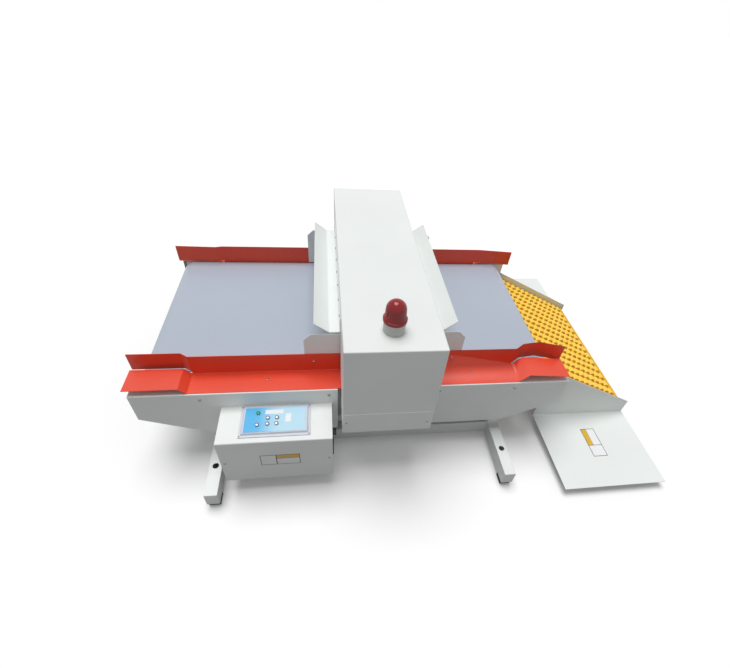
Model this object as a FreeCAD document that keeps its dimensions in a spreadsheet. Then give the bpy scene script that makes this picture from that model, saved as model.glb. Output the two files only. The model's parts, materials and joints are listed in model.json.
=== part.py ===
import FreeCAD, Part
import os
import re
import Sketcher

# Conveyor metal detector: a low belt conveyor runs through a portal-shaped
# detection head, and passed goods roll off down a chute of small wheels.
# Millimetres and degrees.  X runs with the belt, Y across it, Z up; the origin
# is on the floor under the middle of the machine's overall length.
# Sizes along X are counted from the middle of the belt, sizes named "drop" or
# "rise" are counted from the belt's top surface, and the rest are plain sizes.

SIZES = {
    # belt and rollers
    "belt_height": 335.0,
    "belt_width": 600.0,
    "belt_length": 1329.0,
    "belt_gauge": 2.5,
    "roller_radius": 38.0,
    "roller_side_gap": 1.0,
    "shaft_radius": 10.0,
    "soft_gap": 0.3,
    "running_gap": 0.05,
    "slider_gauge": 3.0,
    "slider_end_gap": 12.0,
    "slider_bar": 12.0,
    # side frames
    "frame_gap": 9.0,
    "frame_gauge": 4.0,
    "frame_in_setback": 6.5,
    "frame_out_overhang": 23.5,
    "frame_flange": 34.0,
    "frame_inset": 4.0,
    "boss_radius": 24.0,
    "boss_length": 14.0,
    # base of square tube
    "foot_width": 40.0,
    "foot_tube_height": 55.0,
    "foot_overhang": 184.0,
    "foot_box_gap": 20.0,
    "tube_wall": 3.0,
    "anchor_radius": 10.0,
    "anchor_setback": 102.0,
    "stretcher_gap": 7.0,
    "stretcher_width": 40.0,
    "pad_height": 20.0,
    "pad_length": 36.0,
    "pad_inset": 8.0,
    "pedestal_setback": 32.0,
    # side covers, sheet metal
    "cover_gauge": 2.0,
    "cover_depth": 79.0,
    "cover_lap_gap": 3.0,
    "cover_in_overhang": 13.0,
    "cover_out_overhang": 5.0,
    "cover_head_gap": 11.0,
    "cover_out_gap": 4.0,
    "cover_end_drop": 109.0,
    "cover_drop": 200.0,
    "cover_knee_setback": 8.0,
    "cover_out_slope": 192.0,
    # guide rails, folded sheet
    "guide_gauge": 2.0,
    "guide_gap": 6.0,
    "guide_flange": 82.0,
    "guide_rise": 69.0,
    "guide_top_drop": 2.0,
    "guide_in_overhang": 15.5,
    "guide_out_overhang": 25.5,
    "guide_back_overhang": 37.5,
    "guide_in_tab": 172.0,
    "guide_out_tab": 157.0,
    "guide_ramp": 22.0,
    "guide_pinch": 15.0,
    "guide_lift": 20.0,
    "guide_slit": 10.0,
    "guide_kink_tab": 80.0,
    "guide_kink": 28.0,
    "guide_kink_end": 4.0,
    # detection head
    "head_in": 62.0,
    "head_out": 215.0,
    "head_overhang": 91.0,
    "head_rise": 245.0,
    "head_drop": 101.0,
    "head_leg_gap": 3.0,
    "tunnel_rise": 150.0,
    "head_bend": 4.0,
    "panel_top_drop": 12.0,
    "panel_margin": 5.0,
    "panel_gauge": 1.5,
    "panel_corner": 12.0,
    "sensor_gap": 7.0,
    "sensor_margin": 6.0,
    # tunnel hoods and side plates
    "hood_gauge": 2.0,
    "hood_side_gap": 2.5,
    "hood_flange": 50.0,
    "hood_shelf": 34.0,
    "hood_lip_run": 44.0,
    "hood_lip_rise": 34.5,
    "wing_gauge": 1.5,
    "wing_in_overhang": 109.0,
    "wing_out_overhang": 111.0,
    "wing_top_gap": 2.0,
    "wing_clearance": 1.0,
    "wing_corner": 22.0,
    # warning beacon
    "beacon_setback": 83.0,
    "beacon_radius": 30.0,
    "beacon_base_height": 40.0,
    "lens_flange_radius": 33.0,
    "lens_flange_height": 9.0,
    "lens_radius": 27.5,
    "lens_straight": 28.0,
    "lens_gauge": 2.0,
    "lamp_radius": 9.0,
    "lamp_height": 34.0,
    # control box
    "box_head_gap": 30.0,
    "box_length": 331.0,
    "box_depth": 133.0,
    "box_height": 200.0,
    "box_top_drop": 66.0,
    "box_gauge": 2.0,
    "box_bend": 4.0,
    "bezel_in_setback": 61.0,
    "bezel_front_setback": 17.0,
    "bezel_length": 206.0,
    "bezel_depth": 112.0,
    "bezel_flange": 3.0,
    "bezel_height": 9.0,
    "bezel_lip": 7.0,
    "bezel_draft": 3.0,
    "face_side_gap": 4.5,
    "face_end_gap": 2.5,
    "face_gauge": 1.0,
    # keys and knob
    "key_first_column": 51.0,
    "key_pitch": 26.5,
    "key_last_column": 4.5,
    "key_power_row": 23.0,
    "key_upper_row": 4.5,
    "key_lower_row": 17.0,
    "key_lowest_row": 19.5,
    "button_radius": 6.0,
    "button_height": 4.0,
    "button_stem": 3.0,
    "button_stem_length": 9.0,
    "button_lift": 2.0,
    "knob_radius": 12.0,
    "knob_height": 12.0,
    "knob_setback": 68.0,
    "knob_drop": 63.0,
    "knob_stem": 3.0,
    # supply inlet
    "inlet_drop": 97.0,
    "inlet_height": 60.0,
    "inlet_width": 30.0,
    "inlet_setback": 60.0,
    "inlet_flange": 4.0,
    "inlet_body_depth": 20.0,
    "inlet_body_inset": 2.5,
    "inlet_socket_inset": 4.5,
    "inlet_socket_height": 19.0,
    "inlet_socket_depth": 18.0,
    "inlet_blade_spread": 14.0,
    "inlet_blade_length": 10.0,
    "inlet_blade_width": 4.0,
    "inlet_blade_gauge": 2.0,
    "inlet_pair_rise": 0.35,
    "inlet_earth_rise": 0.65,
    # discharge chute
    "chute_length": 391.0,
    "chute_gap": 2.0,
    "chute_start_drop": 49.0,
    "chute_end_height": 95.3,
    "chute_gauge": 2.0,
    "chute_lap": 38.0,
    "apron_setback": 6.0,
    "apron_width": 315.0,
    "apron_height": 32.0,
    "wheel_radius": 15.0,
    "wheel_sink": 20.0,
    "wheel_gap": 0.8,
    "wheel_end_gap": 2.0,
    "wheel_side_gap": 2.0,
    "axle_radius": 4.0,
    "tray_gauge": 2.0,
    "tray_start": 18.0,
    "tray_end_gap": 9.0,
    "tray_floor_gap": 6.0,
    "tray_lip": 9.0,
}

# Places worked out from the sizes.  Each can be named wherever a size can.
PLACES = {
    # across the belt, counted from its centre line
    "guide_wall": "belt_width / 2 + guide_gap",
    "guide_edge": "guide_wall + guide_flange",
    "frame_inside": "belt_width / 2 + frame_gap",
    "frame_outside": "frame_inside + frame_gauge",
    "cover_lap": "frame_outside + cover_lap_gap",
    "cover_face": "frame_outside + cover_depth",
    "stretcher_inside": "frame_outside + stretcher_gap",
    "stretcher_outside": "stretcher_inside + stretcher_width",
    "foot_half": "cover_face + foot_overhang",
    "head_half": "cover_face + head_overhang",
    "head_leg_inside": "frame_outside + head_leg_gap",
    "hood_half": "guide_wall - wing_gauge - hood_side_gap",
    "box_front": "-(cover_face + box_depth)",
    "bezel_front": "box_front + bezel_front_setback",
    "face_y": "bezel_front + bezel_depth / 2",
    "cheek_inside": "frame_inside - chute_gauge",
    "apron_half": "frame_inside + apron_width",
    # along the belt, counted from its middle
    "roller_x": "belt_length / 2 - belt_gauge - soft_gap - roller_radius",
    "slider_end": "roller_x - roller_radius - slider_end_gap",
    "frame_in_reach": "belt_length / 2 - frame_in_setback",
    "frame_out_reach": "belt_length / 2 + frame_out_overhang",
    "cover_in_reach": "frame_in_reach + cover_in_overhang",
    "cover_out_reach": "frame_out_reach + cover_out_overhang",
    "guide_in_reach": "belt_length / 2 + guide_in_overhang",
    "guide_out_reach": "belt_length / 2 + guide_out_overhang",
    "guide_back_reach": "belt_length / 2 + guide_back_overhang",
    "guide_in_bend": "guide_in_reach - guide_in_tab",
    "guide_out_bend": "guide_out_reach - guide_out_tab",
    "guide_kink_reach": "guide_out_reach - guide_kink_tab",
    "box_out_reach": "head_in + box_head_gap",
    "box_in_reach": "box_out_reach + box_length",
    "bezel_in_reach": "box_in_reach - bezel_in_setback",
    "face_x": "bezel_length / 2 - bezel_in_reach",
    "foot_in": "box_in_reach + foot_box_gap + foot_width / 2",
    "foot_out": "cover_out_knee",
    "cover_in_knee": "foot_in - cover_knee_setback",
    "cover_out_knee": "cover_out_reach - cover_out_slope",
    "pedestal_in": "head_in - pedestal_setback",
    "pedestal_out": "head_out - pedestal_setback",
    "head_middle": "(head_out - head_in) / 2",
    "wing_in_reach": "head_in + wing_in_overhang",
    "wing_out_reach": "head_out + wing_out_overhang",
    "chute_start": "frame_out_reach + chute_gap",
    "chute_reach": "chute_start + chute_length",
    "apron_in_reach": "chute_start + apron_setback",
    # heights above the floor
    "roller_z": "belt_height - belt_gauge - soft_gap - roller_radius",
    "slider_top": "belt_height - belt_gauge",
    "slider_bottom": "slider_top - slider_gauge",
    "sensor_bottom": "roller_z - roller_radius - soft_gap + sensor_gap",
    "guide_top": "belt_height - guide_top_drop",
    "cover_top": "guide_top - guide_gauge",
    "frame_top": "cover_top - cover_gauge",
    "frame_end": "belt_height - cover_end_drop + frame_inset",
    "frame_bottom": "belt_height - cover_drop",
    "foot_top": "pad_height + foot_tube_height",
    "head_top": "belt_height + head_rise",
    "head_bottom": "belt_height - head_drop",
    "tunnel_roof": "belt_height + tunnel_rise",
    "wing_top": "tunnel_roof - wing_top_gap",
    "lens_foot": "beacon_base_height - lens_flange_height / 2",
    "lens_shoulder": "lens_foot + lens_flange_height",
    "lens_spring": "lens_shoulder + lens_straight",
    "box_top": "belt_height - box_top_drop",
    "box_bottom": "box_top - box_height",
    "face_bottom": "box_top + bezel_height",
    "face_top": "face_bottom + face_gauge",
    "chute_edge": "belt_height - chute_start_drop",
    # on the chute: down its slope from the upper edge, and in under its surface
    "chute_slope": "atan((chute_edge - chute_end_height) / chute_length)",
    "tray_end": "chute_length / cos(chute_slope) - tray_end_gap",
    "wheel_first": "tray_start + wheel_end_gap + wheel_radius",
    "wheel_pitch": "2 * wheel_radius + wheel_gap",
    "axle_sink": "wheel_sink + wheel_radius",
    "tray_sink": "axle_sink + wheel_radius + tray_floor_gap",
    # the face plate
    "face_length": "bezel_length - 2 * (bezel_lip + bezel_draft + face_side_gap)",
    "face_depth": "bezel_depth - 2 * (bezel_lip + bezel_draft + face_end_gap)",
}

doc = FreeCAD.newDocument("ConveyorMetalDetector")
V = FreeCAD.Vector
UPRIGHT = {
    "XY": FreeCAD.Rotation(),
    "XZ": FreeCAD.Rotation(V(1, 0, 0), 90),
    "YZ": FreeCAD.Rotation(V(1, 1, 1), 120),
}
ACROSS = {"XY": ("z", V(0, 0, 1)), "XZ": ("y", V(0, 1, 0)), "YZ": ("x", V(1, 0, 0))}
# a cylinder's own Z turned to lie along an axis of the machine
ALONG = {
    "x": FreeCAD.Rotation(V(0, 1, 0), 90),
    "y": FreeCAD.Rotation(V(1, 0, 0), -90),
    "z": FreeCAD.Rotation(),
}
parts = []


# ---------------------------------------------------------------- the sheet

sheet = doc.addObject("Spreadsheet::Sheet", "Sizes")
for row, (size_name, size) in enumerate(SIZES.items(), start=1):
    sheet.set(f"A{row}", size_name)
    sheet.set(f"B{row}", str(size))
    sheet.setAlias(f"B{row}", size_name)
doc.recompute()


# ---------------------------------------------------------------- helpers

def sized(text):
    """Point every size named in the text at its cell in the sheet, and spell
    out every place by the sizes behind it."""
    def to_cell(word):
        name = word.group()
        if name in PLACES:
            return f"({sized(PLACES[name])})"
        return f"Sizes.{name}" if name in SIZES else name
    return re.sub(r"[a-z][a-z_]*", to_cell, text)


def worth(text):
    """The value of a text in named sizes, for a choice made while building."""
    value = sheet.evalExpression(re.sub(r"Sizes\.", "", sized(text)))
    return float(getattr(value, "Value", value))


def bind(thing, prop, text):
    """Tie a property to the sheet."""
    thing.setExpression(prop, sized(text))


def along(x):
    """A distance along the belt from the belt's middle, as a place in X."""
    return f"({x}) - (chute_reach - guide_in_reach) / 2"


def part(thing, label):
    """Give a finished piece the name it is written out under."""
    thing.Label = label
    parts.append(thing)
    return thing


def block(name, x, y, z):
    """A box between two x, two y and two z."""
    box = doc.addObject("Part::Box", name)
    sides = (("Length", "x", x), ("Width", "y", y), ("Height", "z", z))
    for prop, axis, (low, high) in sides:
        bind(box, prop, f"({high}) - ({low})")
        bind(box, f"Placement.Base.{axis}", along(low) if axis == "x" else low)
    return box


def rod(name, radius, axis, x, y, z):
    """A cylinder along one axis of the machine: there it has two places, the
    lower and the higher, and across it one."""
    cylinder = doc.addObject("Part::Cylinder", name)
    cylinder.Placement.Rotation = ALONG[axis]
    bind(cylinder, "Radius", radius)
    for letter, place in (("x", x), ("y", y), ("z", z)):
        if letter == axis:
            bind(cylinder, "Height", f"({place[1]}) - ({place[0]})")
            place = place[0]
        bind(cylinder, f"Placement.Base.{letter}", along(place) if letter == "x" else place)
    return cylinder


def fuse(name, *pieces):
    """One solid from pieces that touch or overlap."""
    joined = doc.addObject("Part::MultiFuse", name)
    joined.Shapes = list(pieces)
    joined.Refine = True
    return joined


def cut(name, base, *tools):
    """The base with every tool taken out of it."""
    for number, tool in enumerate(tools, start=1):
        result = doc.addObject("Part::Cut", f"{name}_{number}")
        result.Base = base
        result.Tool = tool
        base = result
    return base


def mirrored(name, source):
    """The same piece on the other side of the belt's centre line."""
    copy = doc.addObject("Part::Mirroring", name)
    copy.Source = source
    copy.Base = V(0, 0, 0)
    copy.Normal = V(0, 1, 0)
    return copy


def both_sides(name, thing):
    """Keep a piece of the front side, and its mirror image for the back."""
    part(thing, f"{name}_front")
    part(mirrored(f"{name}_mirror", thing), f"{name}_back")


def draw(sketch, points, closed):
    """Straight lines through the points, each point held by the sheet."""
    places = [tuple(worth(text) for text in point) for point in points]
    ends = places[1:] + places[:1] if closed else places[1:]
    for start, end in zip(places, ends):
        sketch.addGeometry(Part.LineSegment(V(*start, 0), V(*end, 0)), False)
    count = len(ends)
    for line in range(count if closed else count - 1):
        sketch.addConstraint(
            Sketcher.Constraint("Coincident", line, 2, (line + 1) % count, 1))
    for number, point in enumerate(points):
        line, end = (number, 1) if number < count else (number - 1, 2)
        for kind, text in zip(("DistanceX", "DistanceY"), point):
            index = sketch.addConstraint(
                Sketcher.Constraint(kind, -1, 1, line, end, worth(text)))
            bind(sketch, f"Constraints[{index}]", text)


def folded(name, plane, points, gauge, side, low, high):
    """Sheet metal folded along the points, its thickness laid on one side.
    An offset's sign follows the way the path turns, so the side is tried."""
    path = doc.addObject("Sketcher::SketchObject", f"{name}_path")
    path.Placement.Rotation = UPRIGHT[plane]
    draw(path, points, closed=False)
    axis, direction = ACROSS[plane]
    bind(path, f"Placement.Base.{axis}", along(low) if axis == "x" else low)
    skin = doc.addObject("Part::Offset2D", f"{name}_skin")
    skin.Source = path
    skin.Mode = "Skin"
    skin.Join = "Intersection"
    skin.Fill = True
    bind(skin, "Value", gauge)
    doc.recompute()
    if (skin.Shape.CenterOfMass - path.Shape.CenterOfMass).dot(side) < 0:
        bind(skin, "Value", f"-{gauge}")
    sheet_metal = doc.addObject("Part::Extrusion", name)
    sheet_metal.Base = skin
    sheet_metal.DirMode = "Custom"
    sheet_metal.Dir = direction
    sheet_metal.Solid = True
    bind(sheet_metal, "LengthFwd", f"({high}) - ({low})")
    return sheet_metal


def sketch_in(body, name, plane, points, offset):
    """A closed outline on one of the body's own planes, moved off along it."""
    sketch = body.newObject("Sketcher::SketchObject", name)
    role = f"{plane}_Plane"
    support = next(face for face in body.Origin.OriginFeatures if face.Role == role)
    sketch.AttachmentSupport = [(support, "")]
    sketch.MapMode = "FlatFace"
    bind(sketch, "AttachmentOffset.Base.z", offset)
    draw(sketch, points, closed=True)
    return sketch


def prism(name, plane, points, low, high):
    """A body padded from an outline, between two places across its plane."""
    body = doc.addObject("PartDesign::Body", name)
    offset = {"XY": low, "XZ": f"-({high})", "YZ": along(low)}[plane]
    sketch = sketch_in(body, f"{name}_outline", plane, points, offset)
    pad = body.newObject("PartDesign::Pad", f"{name}_pad")
    pad.Profile = sketch
    bind(pad, "Length", f"({high}) - ({low})")
    doc.recompute()
    return body


def turned(name, points):
    """A body turned about its own upright axis from a half outline."""
    body = doc.addObject("PartDesign::Body", name)
    sketch = sketch_in(body, f"{name}_outline", "XZ", points, "0")
    spin = body.newObject("PartDesign::Revolution", f"{name}_spin")
    spin.Profile = sketch
    spin.ReferenceAxis = (sketch, ["V_Axis"])
    spin.Angle = 360
    return body


def round_edges(body, radius, chosen):
    """Round the edges of the body's last feature that the test picks."""
    base = body.Tip
    names = [f"Edge{number}" for number, edge in enumerate(base.Shape.Edges, start=1)
             if chosen(edge)]
    fillet = body.newObject("PartDesign::Fillet", f"{body.Name}_rounded")
    fillet.Base = (base, names)
    bind(fillet, "Radius", radius)
    doc.recompute()
    return body


def hollow(body, gauge, opened):
    """Turn a solid body into sheet metal, leaving the chosen faces open."""
    base = body.Tip
    names = [f"Face{number}" for number, face in enumerate(base.Shape.Faces, start=1)
             if opened(face)]
    shell = body.newObject("PartDesign::Thickness", f"{body.Name}_walls")
    shell.Base = (base, names)
    shell.Reversed = True
    shell.Join = 1
    bind(shell, "Value", gauge)
    doc.recompute()
    return body


def runs(edge, direction):
    """Whether an edge is straight and runs along the direction."""
    line = edge.Vertexes[-1].Point - edge.Vertexes[0].Point
    return line.Length > 0 and line.cross(direction).Length < 1e-6 * line.Length


def looks(face, direction):
    """Whether a flat face looks along the direction."""
    return face.normalAt(0, 0).dot(direction) > 0.999


# ---------------------------------------------------------------- belt, rollers, slider

def belt_loop(name, radius, half_width):
    """The space inside a loop around both rollers: a block with round ends."""
    y = (f"-({half_width})", half_width)
    middle = block(f"{name}_middle", ("-roller_x", "roller_x"), y,
                   (f"roller_z - ({radius})", f"roller_z + ({radius})"))
    ends = [rod(f"{name}_end_{word}", radius, "y", x, y, "roller_z")
            for word, x in (("in", "-roller_x"), ("out", "roller_x"))]
    return fuse(name, middle, *ends)


def make_belt():
    outer = belt_loop("belt_outer", "roller_radius + soft_gap + belt_gauge",
                      "belt_width / 2")
    inner = belt_loop("belt_inner", "roller_radius + soft_gap", "belt_width / 2 + 1")
    part(cut("belt_loop", outer, inner), "belt")


def make_roller(label, x):
    """A plain drum on a through shaft, borne in the two side frames."""
    drum_half = "belt_width / 2 - roller_side_gap"
    shaft_half = "frame_outside + boss_length"
    drum = rod(f"{label}_drum", "roller_radius", "y", x,
               (f"-({drum_half})", drum_half), "roller_z")
    shaft = rod(f"{label}_shaft", "shaft_radius", "y", x,
                (f"-({shaft_half})", shaft_half), "roller_z")
    part(fuse(f"{label}_turned", drum, shaft), label)


def make_slider():
    """The plate that the loaded run of the belt slides on.  Its edges lie
    clear of the guide walls, on bars that reach out to the side frames."""
    x = ("-slider_end", "slider_end")
    plate = block("slider_plate", x,
                  ("wing_clearance - guide_wall", "guide_wall - wing_clearance"),
                  ("slider_bottom", "slider_top"))
    bar_z = ("slider_bottom - slider_bar", "slider_bottom")
    front = block("slider_bar_front", x, ("-frame_inside", "slider_bar - frame_inside"), bar_z)
    back = block("slider_bar_back", x, ("frame_inside - slider_bar", "frame_inside"), bar_z)
    part(fuse("slider", plate, front, back), "slider_bed")


# ---------------------------------------------------------------- base

def tube(name, x, y, z, open_axis=None):
    """A rectangular tube: a block less its bore, which runs through along the
    open axis, and otherwise stops a wall short of the ends."""
    bore = []
    for axis, (low, high) in zip("xyz", (x, y, z)):
        if axis == open_axis:
            bore.append((f"({low}) - 1", f"({high}) + 1"))
        else:
            bore.append((f"({low}) + tube_wall", f"({high}) - tube_wall"))
    return cut(name, block(f"{name}_outside", x, y, z), block(f"{name}_bore", *bore))


def make_foot(label, centre):
    """A capped tube across the machine with an anchor hole near each end,
    and two short posts that carry the side frames."""
    x = (f"{centre} - foot_width / 2", f"{centre} + foot_width / 2")
    beam = tube(f"{label}_beam", x, ("-foot_half", "foot_half"), ("pad_height", "foot_top"))
    drills = [rod(f"{label}_anchor_{word}", "anchor_radius", "z", centre,
                  f"{sign}(foot_half - anchor_setback)",
                  ("foot_top - tube_wall - 1", "foot_top + 1"))
              for word, sign in (("front", "-"), ("back", ""))]
    posts = [block(f"{label}_post_{word}", x, y, ("foot_top", "frame_bottom"))
             for word, y in (("front", ("-stretcher_outside", "-stretcher_inside")),
                             ("back", ("stretcher_inside", "stretcher_outside")))]
    part(fuse(f"{label}_welded", cut(f"{label}_drilled", beam, *drills), *posts), label)


def make_base():
    make_foot("foot_infeed", "-foot_in")
    make_foot("foot_outfeed", "foot_out")
    y = ("-stretcher_outside", "-stretcher_inside")
    both_sides("stretcher", tube("stretcher_tube",
                                 ("foot_width / 2 - foot_in", "foot_out - foot_width / 2"),
                                 y, ("pad_height", "foot_top"), "x"))
    both_sides("pedestal", tube("pedestal_tube", ("-pedestal_in", "pedestal_out"),
                                y, ("foot_top", "head_bottom"), "z"))
    for end, centre in (("infeed", "-foot_in"), ("outfeed", "foot_out")):
        both_sides(f"pad_{end}", block(
            f"pad_{end}_block",
            (f"{centre} - pad_length / 2", f"{centre} + pad_length / 2"),
            ("pad_inset - foot_half", "pad_inset + pad_length - foot_half"),
            ("0", "pad_height")))


# ---------------------------------------------------------------- side frames and covers

def make_side_frames():
    """A web with turned-out flanges and a bearing boss at each roller.  The
    flanges are interrupted at the head's leg and at the pedestal."""
    points = [(along("-frame_in_reach"), "frame_top"), (along("-frame_in_reach"), "frame_end"),
              (along("-cover_in_knee"), "frame_bottom"),
              (along("cover_out_knee"), "frame_bottom"),
              (along("frame_out_reach"), "frame_end"), (along("frame_out_reach"), "frame_top")]
    web = prism("frame_web", "XZ", points, "-frame_outside", "-frame_inside")
    y = ("-(frame_outside + frame_flange)", "-frame_outside")
    high = ("frame_top - frame_gauge", "frame_top")
    low = ("frame_bottom", "frame_bottom + frame_gauge")
    flanges = [
        block("frame_flange_in", ("-frame_in_reach", "-head_in - cover_out_gap"), y, high),
        block("frame_flange_out", ("head_out + cover_out_gap", "frame_out_reach"), y, high),
        block("frame_foot_in", ("-cover_in_knee", "-pedestal_in - cover_out_gap"), y, low),
        block("frame_foot_out", ("pedestal_out + cover_out_gap", "cover_out_knee"), y, low),
    ]
    bosses = []
    bores = []
    for word, x in (("in", "-roller_x"), ("out", "roller_x")):
        bosses.append(rod(f"frame_boss_{word}", "boss_radius", "y", x,
                          ("-(frame_outside + boss_length)", "-frame_outside"), "roller_z"))
        bores.append(rod(f"frame_bore_{word}", "shaft_radius + running_gap", "y", x,
                         ("-(frame_outside + boss_length + 1)", "1 - frame_inside"),
                         "roller_z"))
    solid = fuse("frame_solid", web, *flanges, *bosses)
    both_sides("side_frame", cut("frame_bored", solid, *bores))


def make_cover(end, head_end, knee, far_end, head_side):
    """A sheet-metal cover: face, top flange and outer end, open elsewhere.
    Its lower edge is level up to the knee and slopes up to the far end."""
    low = "belt_height - cover_drop"
    points = [(along(head_end), "cover_top"), (along(head_end), low), (along(knee), low),
              (along(far_end), "belt_height - cover_end_drop"), (along(far_end), "cover_top")]
    body = prism(f"cover_{end}_sheet", "XZ", points, "-cover_face", "-cover_lap")

    def is_open(face):
        return (face.normalAt(0, 0).z < -0.5 or looks(face, V(0, 1, 0))
                or looks(face, head_side))

    both_sides(f"cover_{end}", hollow(body, "cover_gauge", is_open))


def make_covers():
    make_cover("infeed", "-head_in - cover_head_gap", "-cover_in_knee",
               "-cover_in_reach", V(1, 0, 0))
    make_cover("outfeed", "head_out + cover_out_gap", "cover_out_knee",
               "cover_out_reach", V(-1, 0, 0))


# ---------------------------------------------------------------- guide rails

def make_guide(name, sign, head_face, bend, reach, wall_tab):
    """An angle of folded sheet beside the belt.  Past the bend, its wall is
    pinched in towards the belt, its flange is lifted, and the two are slit."""
    wall_points = [(along(head_face), "-guide_wall")]
    wall_points += [(along(f"{sign}{x}"), f"{inward} - guide_wall")
                    for x, inward in [(bend, "0"), *wall_tab]]
    ramp = f"({bend} + guide_ramp)"
    flange_points = [(along(head_face), "guide_top"),
                     (along(f"{sign}{bend}"), "guide_top"),
                     (along(f"{sign}{ramp}"), "guide_top + guide_lift"),
                     (along(f"{sign}{reach}"), "guide_top + guide_lift")]
    tip = (bend, f"{reach} + 1")
    if sign == "-":
        wall_points.reverse()
        flange_points.reverse()
        tip = (f"-{reach} - 1", f"-{bend}")
    wall = folded(f"{name}_wall", "XY", wall_points, "guide_gauge", V(0, -1, 0),
                  "cover_top", "belt_height + guide_rise")
    flange = folded(f"{name}_flange", "XZ", flange_points, "guide_gauge", V(0, 0, -1),
                    "-guide_edge", "-guide_wall")
    slit = block(f"{name}_slit", tip,
                 ("-guide_wall - guide_gauge", "guide_kink - guide_wall + guide_gauge"),
                 ("cover_top - 1", "cover_top + guide_slit"))
    return cut(f"{name}_slitted", fuse(f"{name}_angle", wall, flange), slit)


def make_guides():
    """Both infeed guides are alike.  The front outfeed guide's tab is kinked
    inwards once more, and the plain one at the back is a little longer."""
    pinched_in = ("(guide_in_bend + guide_ramp)", "guide_pinch")
    pinched_out = ("(guide_out_bend + guide_ramp)", "guide_pinch")
    infeed = make_guide("infeed_rail", "-", "-head_in", "guide_in_bend", "guide_in_reach",
                        [pinched_in, ("guide_in_reach", "guide_pinch")])
    both_sides("guide_infeed", infeed)
    kinked = make_guide("kinked_rail", "", "head_out", "guide_out_bend", "guide_out_reach",
                        [pinched_out, ("guide_kink_reach", "guide_kink"),
                         ("guide_out_reach", "guide_kink_end")])
    part(kinked, "guide_outfeed_front")
    plain = make_guide("plain_rail", "", "head_out", "guide_out_bend", "guide_back_reach",
                       [pinched_out, ("guide_back_reach", "guide_pinch")])
    part(mirrored("plain_rail_mirror", plain), "guide_outfeed_back")


# ---------------------------------------------------------------- detection head

def make_head():
    """The portal: two legs and a lintel around the tunnel, folded at the edges."""
    points = [("-head_half", "head_bottom"), ("-head_half", "head_top"),
              ("head_half", "head_top"), ("head_half", "head_bottom"),
              ("head_leg_inside", "head_bottom"), ("head_leg_inside", "tunnel_roof"),
              ("-head_leg_inside", "tunnel_roof"), ("-head_leg_inside", "head_bottom")]
    shell = prism("head", "YZ", points, "-head_in", "head_out")
    outer = worth("head_half") - 1
    top = worth("head_top") - 1

    def is_outer(edge):
        on_side = abs(edge.BoundBox.Center.y) > outer and runs(edge, V(0, 0, 1))
        return on_side or edge.BoundBox.ZMin > top

    part(round_edges(shell, "head_bend", is_outer), "head_shell")


def make_head_panel():
    """The service panel low on the head's front, with rounded lower corners."""
    left = along("panel_margin - head_in")
    right = along("head_out - panel_margin")
    low = "head_bottom + panel_margin"
    high = "belt_height - panel_top_drop"
    body = prism("panel", "XZ", [(left, high), (left, low), (right, low), (right, high)],
                 "-(head_half + panel_gauge)", "-head_half")
    corner = worth(low) + 1
    part(round_edges(body, "panel_corner",
                     lambda edge: runs(edge, V(0, 1, 0)) and edge.BoundBox.ZMax < corner),
         "head_panel")


def make_sensor():
    """The lower half of the detector coil, boxed between the two belt runs."""
    part(block("sensor", ("sensor_margin - head_in", "head_out - sensor_margin"),
               ("-frame_inside", "frame_inside"),
               ("sensor_bottom", "slider_bottom - slider_bar")), "lower_sensor")


def make_hood(label, face, outward):
    """Folded sheet over a tunnel mouth: flange, shelf and a lip turned up."""
    shelf = f"{face} {outward} hood_shelf"
    points = [(along(face), "tunnel_roof + hood_flange"), (along(face), "tunnel_roof"),
              (along(shelf), "tunnel_roof"),
              (along(f"{shelf} {outward} hood_lip_run"), "tunnel_roof + hood_lip_rise")]
    part(folded(f"{label}_sheet", "XZ", points, "hood_gauge", V(0, 0, 1),
                "-hood_half", "hood_half"), label)


def make_wings():
    """The tunnel's side plates, bolted to the belt side of the guide walls."""
    low = "belt_height + wing_clearance"
    shoulder = "wing_top - wing_corner"
    points = [(along("-wing_in_reach"), low), (along("-wing_in_reach"), shoulder),
              (along("wing_corner - wing_in_reach"), "wing_top"),
              (along("wing_out_reach - wing_corner"), "wing_top"),
              (along("wing_out_reach"), shoulder), (along("wing_out_reach"), low)]
    both_sides("wing", prism("wing_sheet", "XZ", points, "-guide_wall",
                             "wing_gauge - guide_wall"))


# ---------------------------------------------------------------- beacon

def make_beacon():
    """A round base with the lamp on it, under a lens domed in short runs."""
    inner = "(lens_radius - lens_gauge)"
    seat = f"{inner} - soft_gap"
    base = turned("beacon", [
        ("0", "0"), ("beacon_radius", "0"), ("beacon_radius", "lens_foot"),
        (seat, "lens_foot"), (seat, "beacon_base_height"),
        ("lamp_radius", "beacon_base_height"),
        ("lamp_radius", "beacon_base_height + lamp_height"),
        ("0", "beacon_base_height + lamp_height")])

    def dome(radius):
        points = [(f"{radius} * cos({angle})", f"lens_spring + {radius} * sin({angle})")
                  for angle in (0, 22.5, 45, 67.5)]
        return points + [("0", f"lens_spring + {radius}")]

    lens = turned("lens", [
        (inner, "lens_foot"), ("lens_flange_radius", "lens_foot"),
        ("lens_flange_radius", "lens_shoulder"), ("lens_radius", "lens_shoulder"),
        *dome("lens_radius"), *reversed(dome(inner))])
    for piece, label in ((base, "beacon_base"), (lens, "beacon_lens")):
        bind(piece, "Placement.Base.x", along("head_middle"))
        bind(piece, "Placement.Base.y", "beacon_setback - head_half")
        bind(piece, "Placement.Base.z", "head_top")
        part(piece, label)


# ---------------------------------------------------------------- control box

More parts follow.
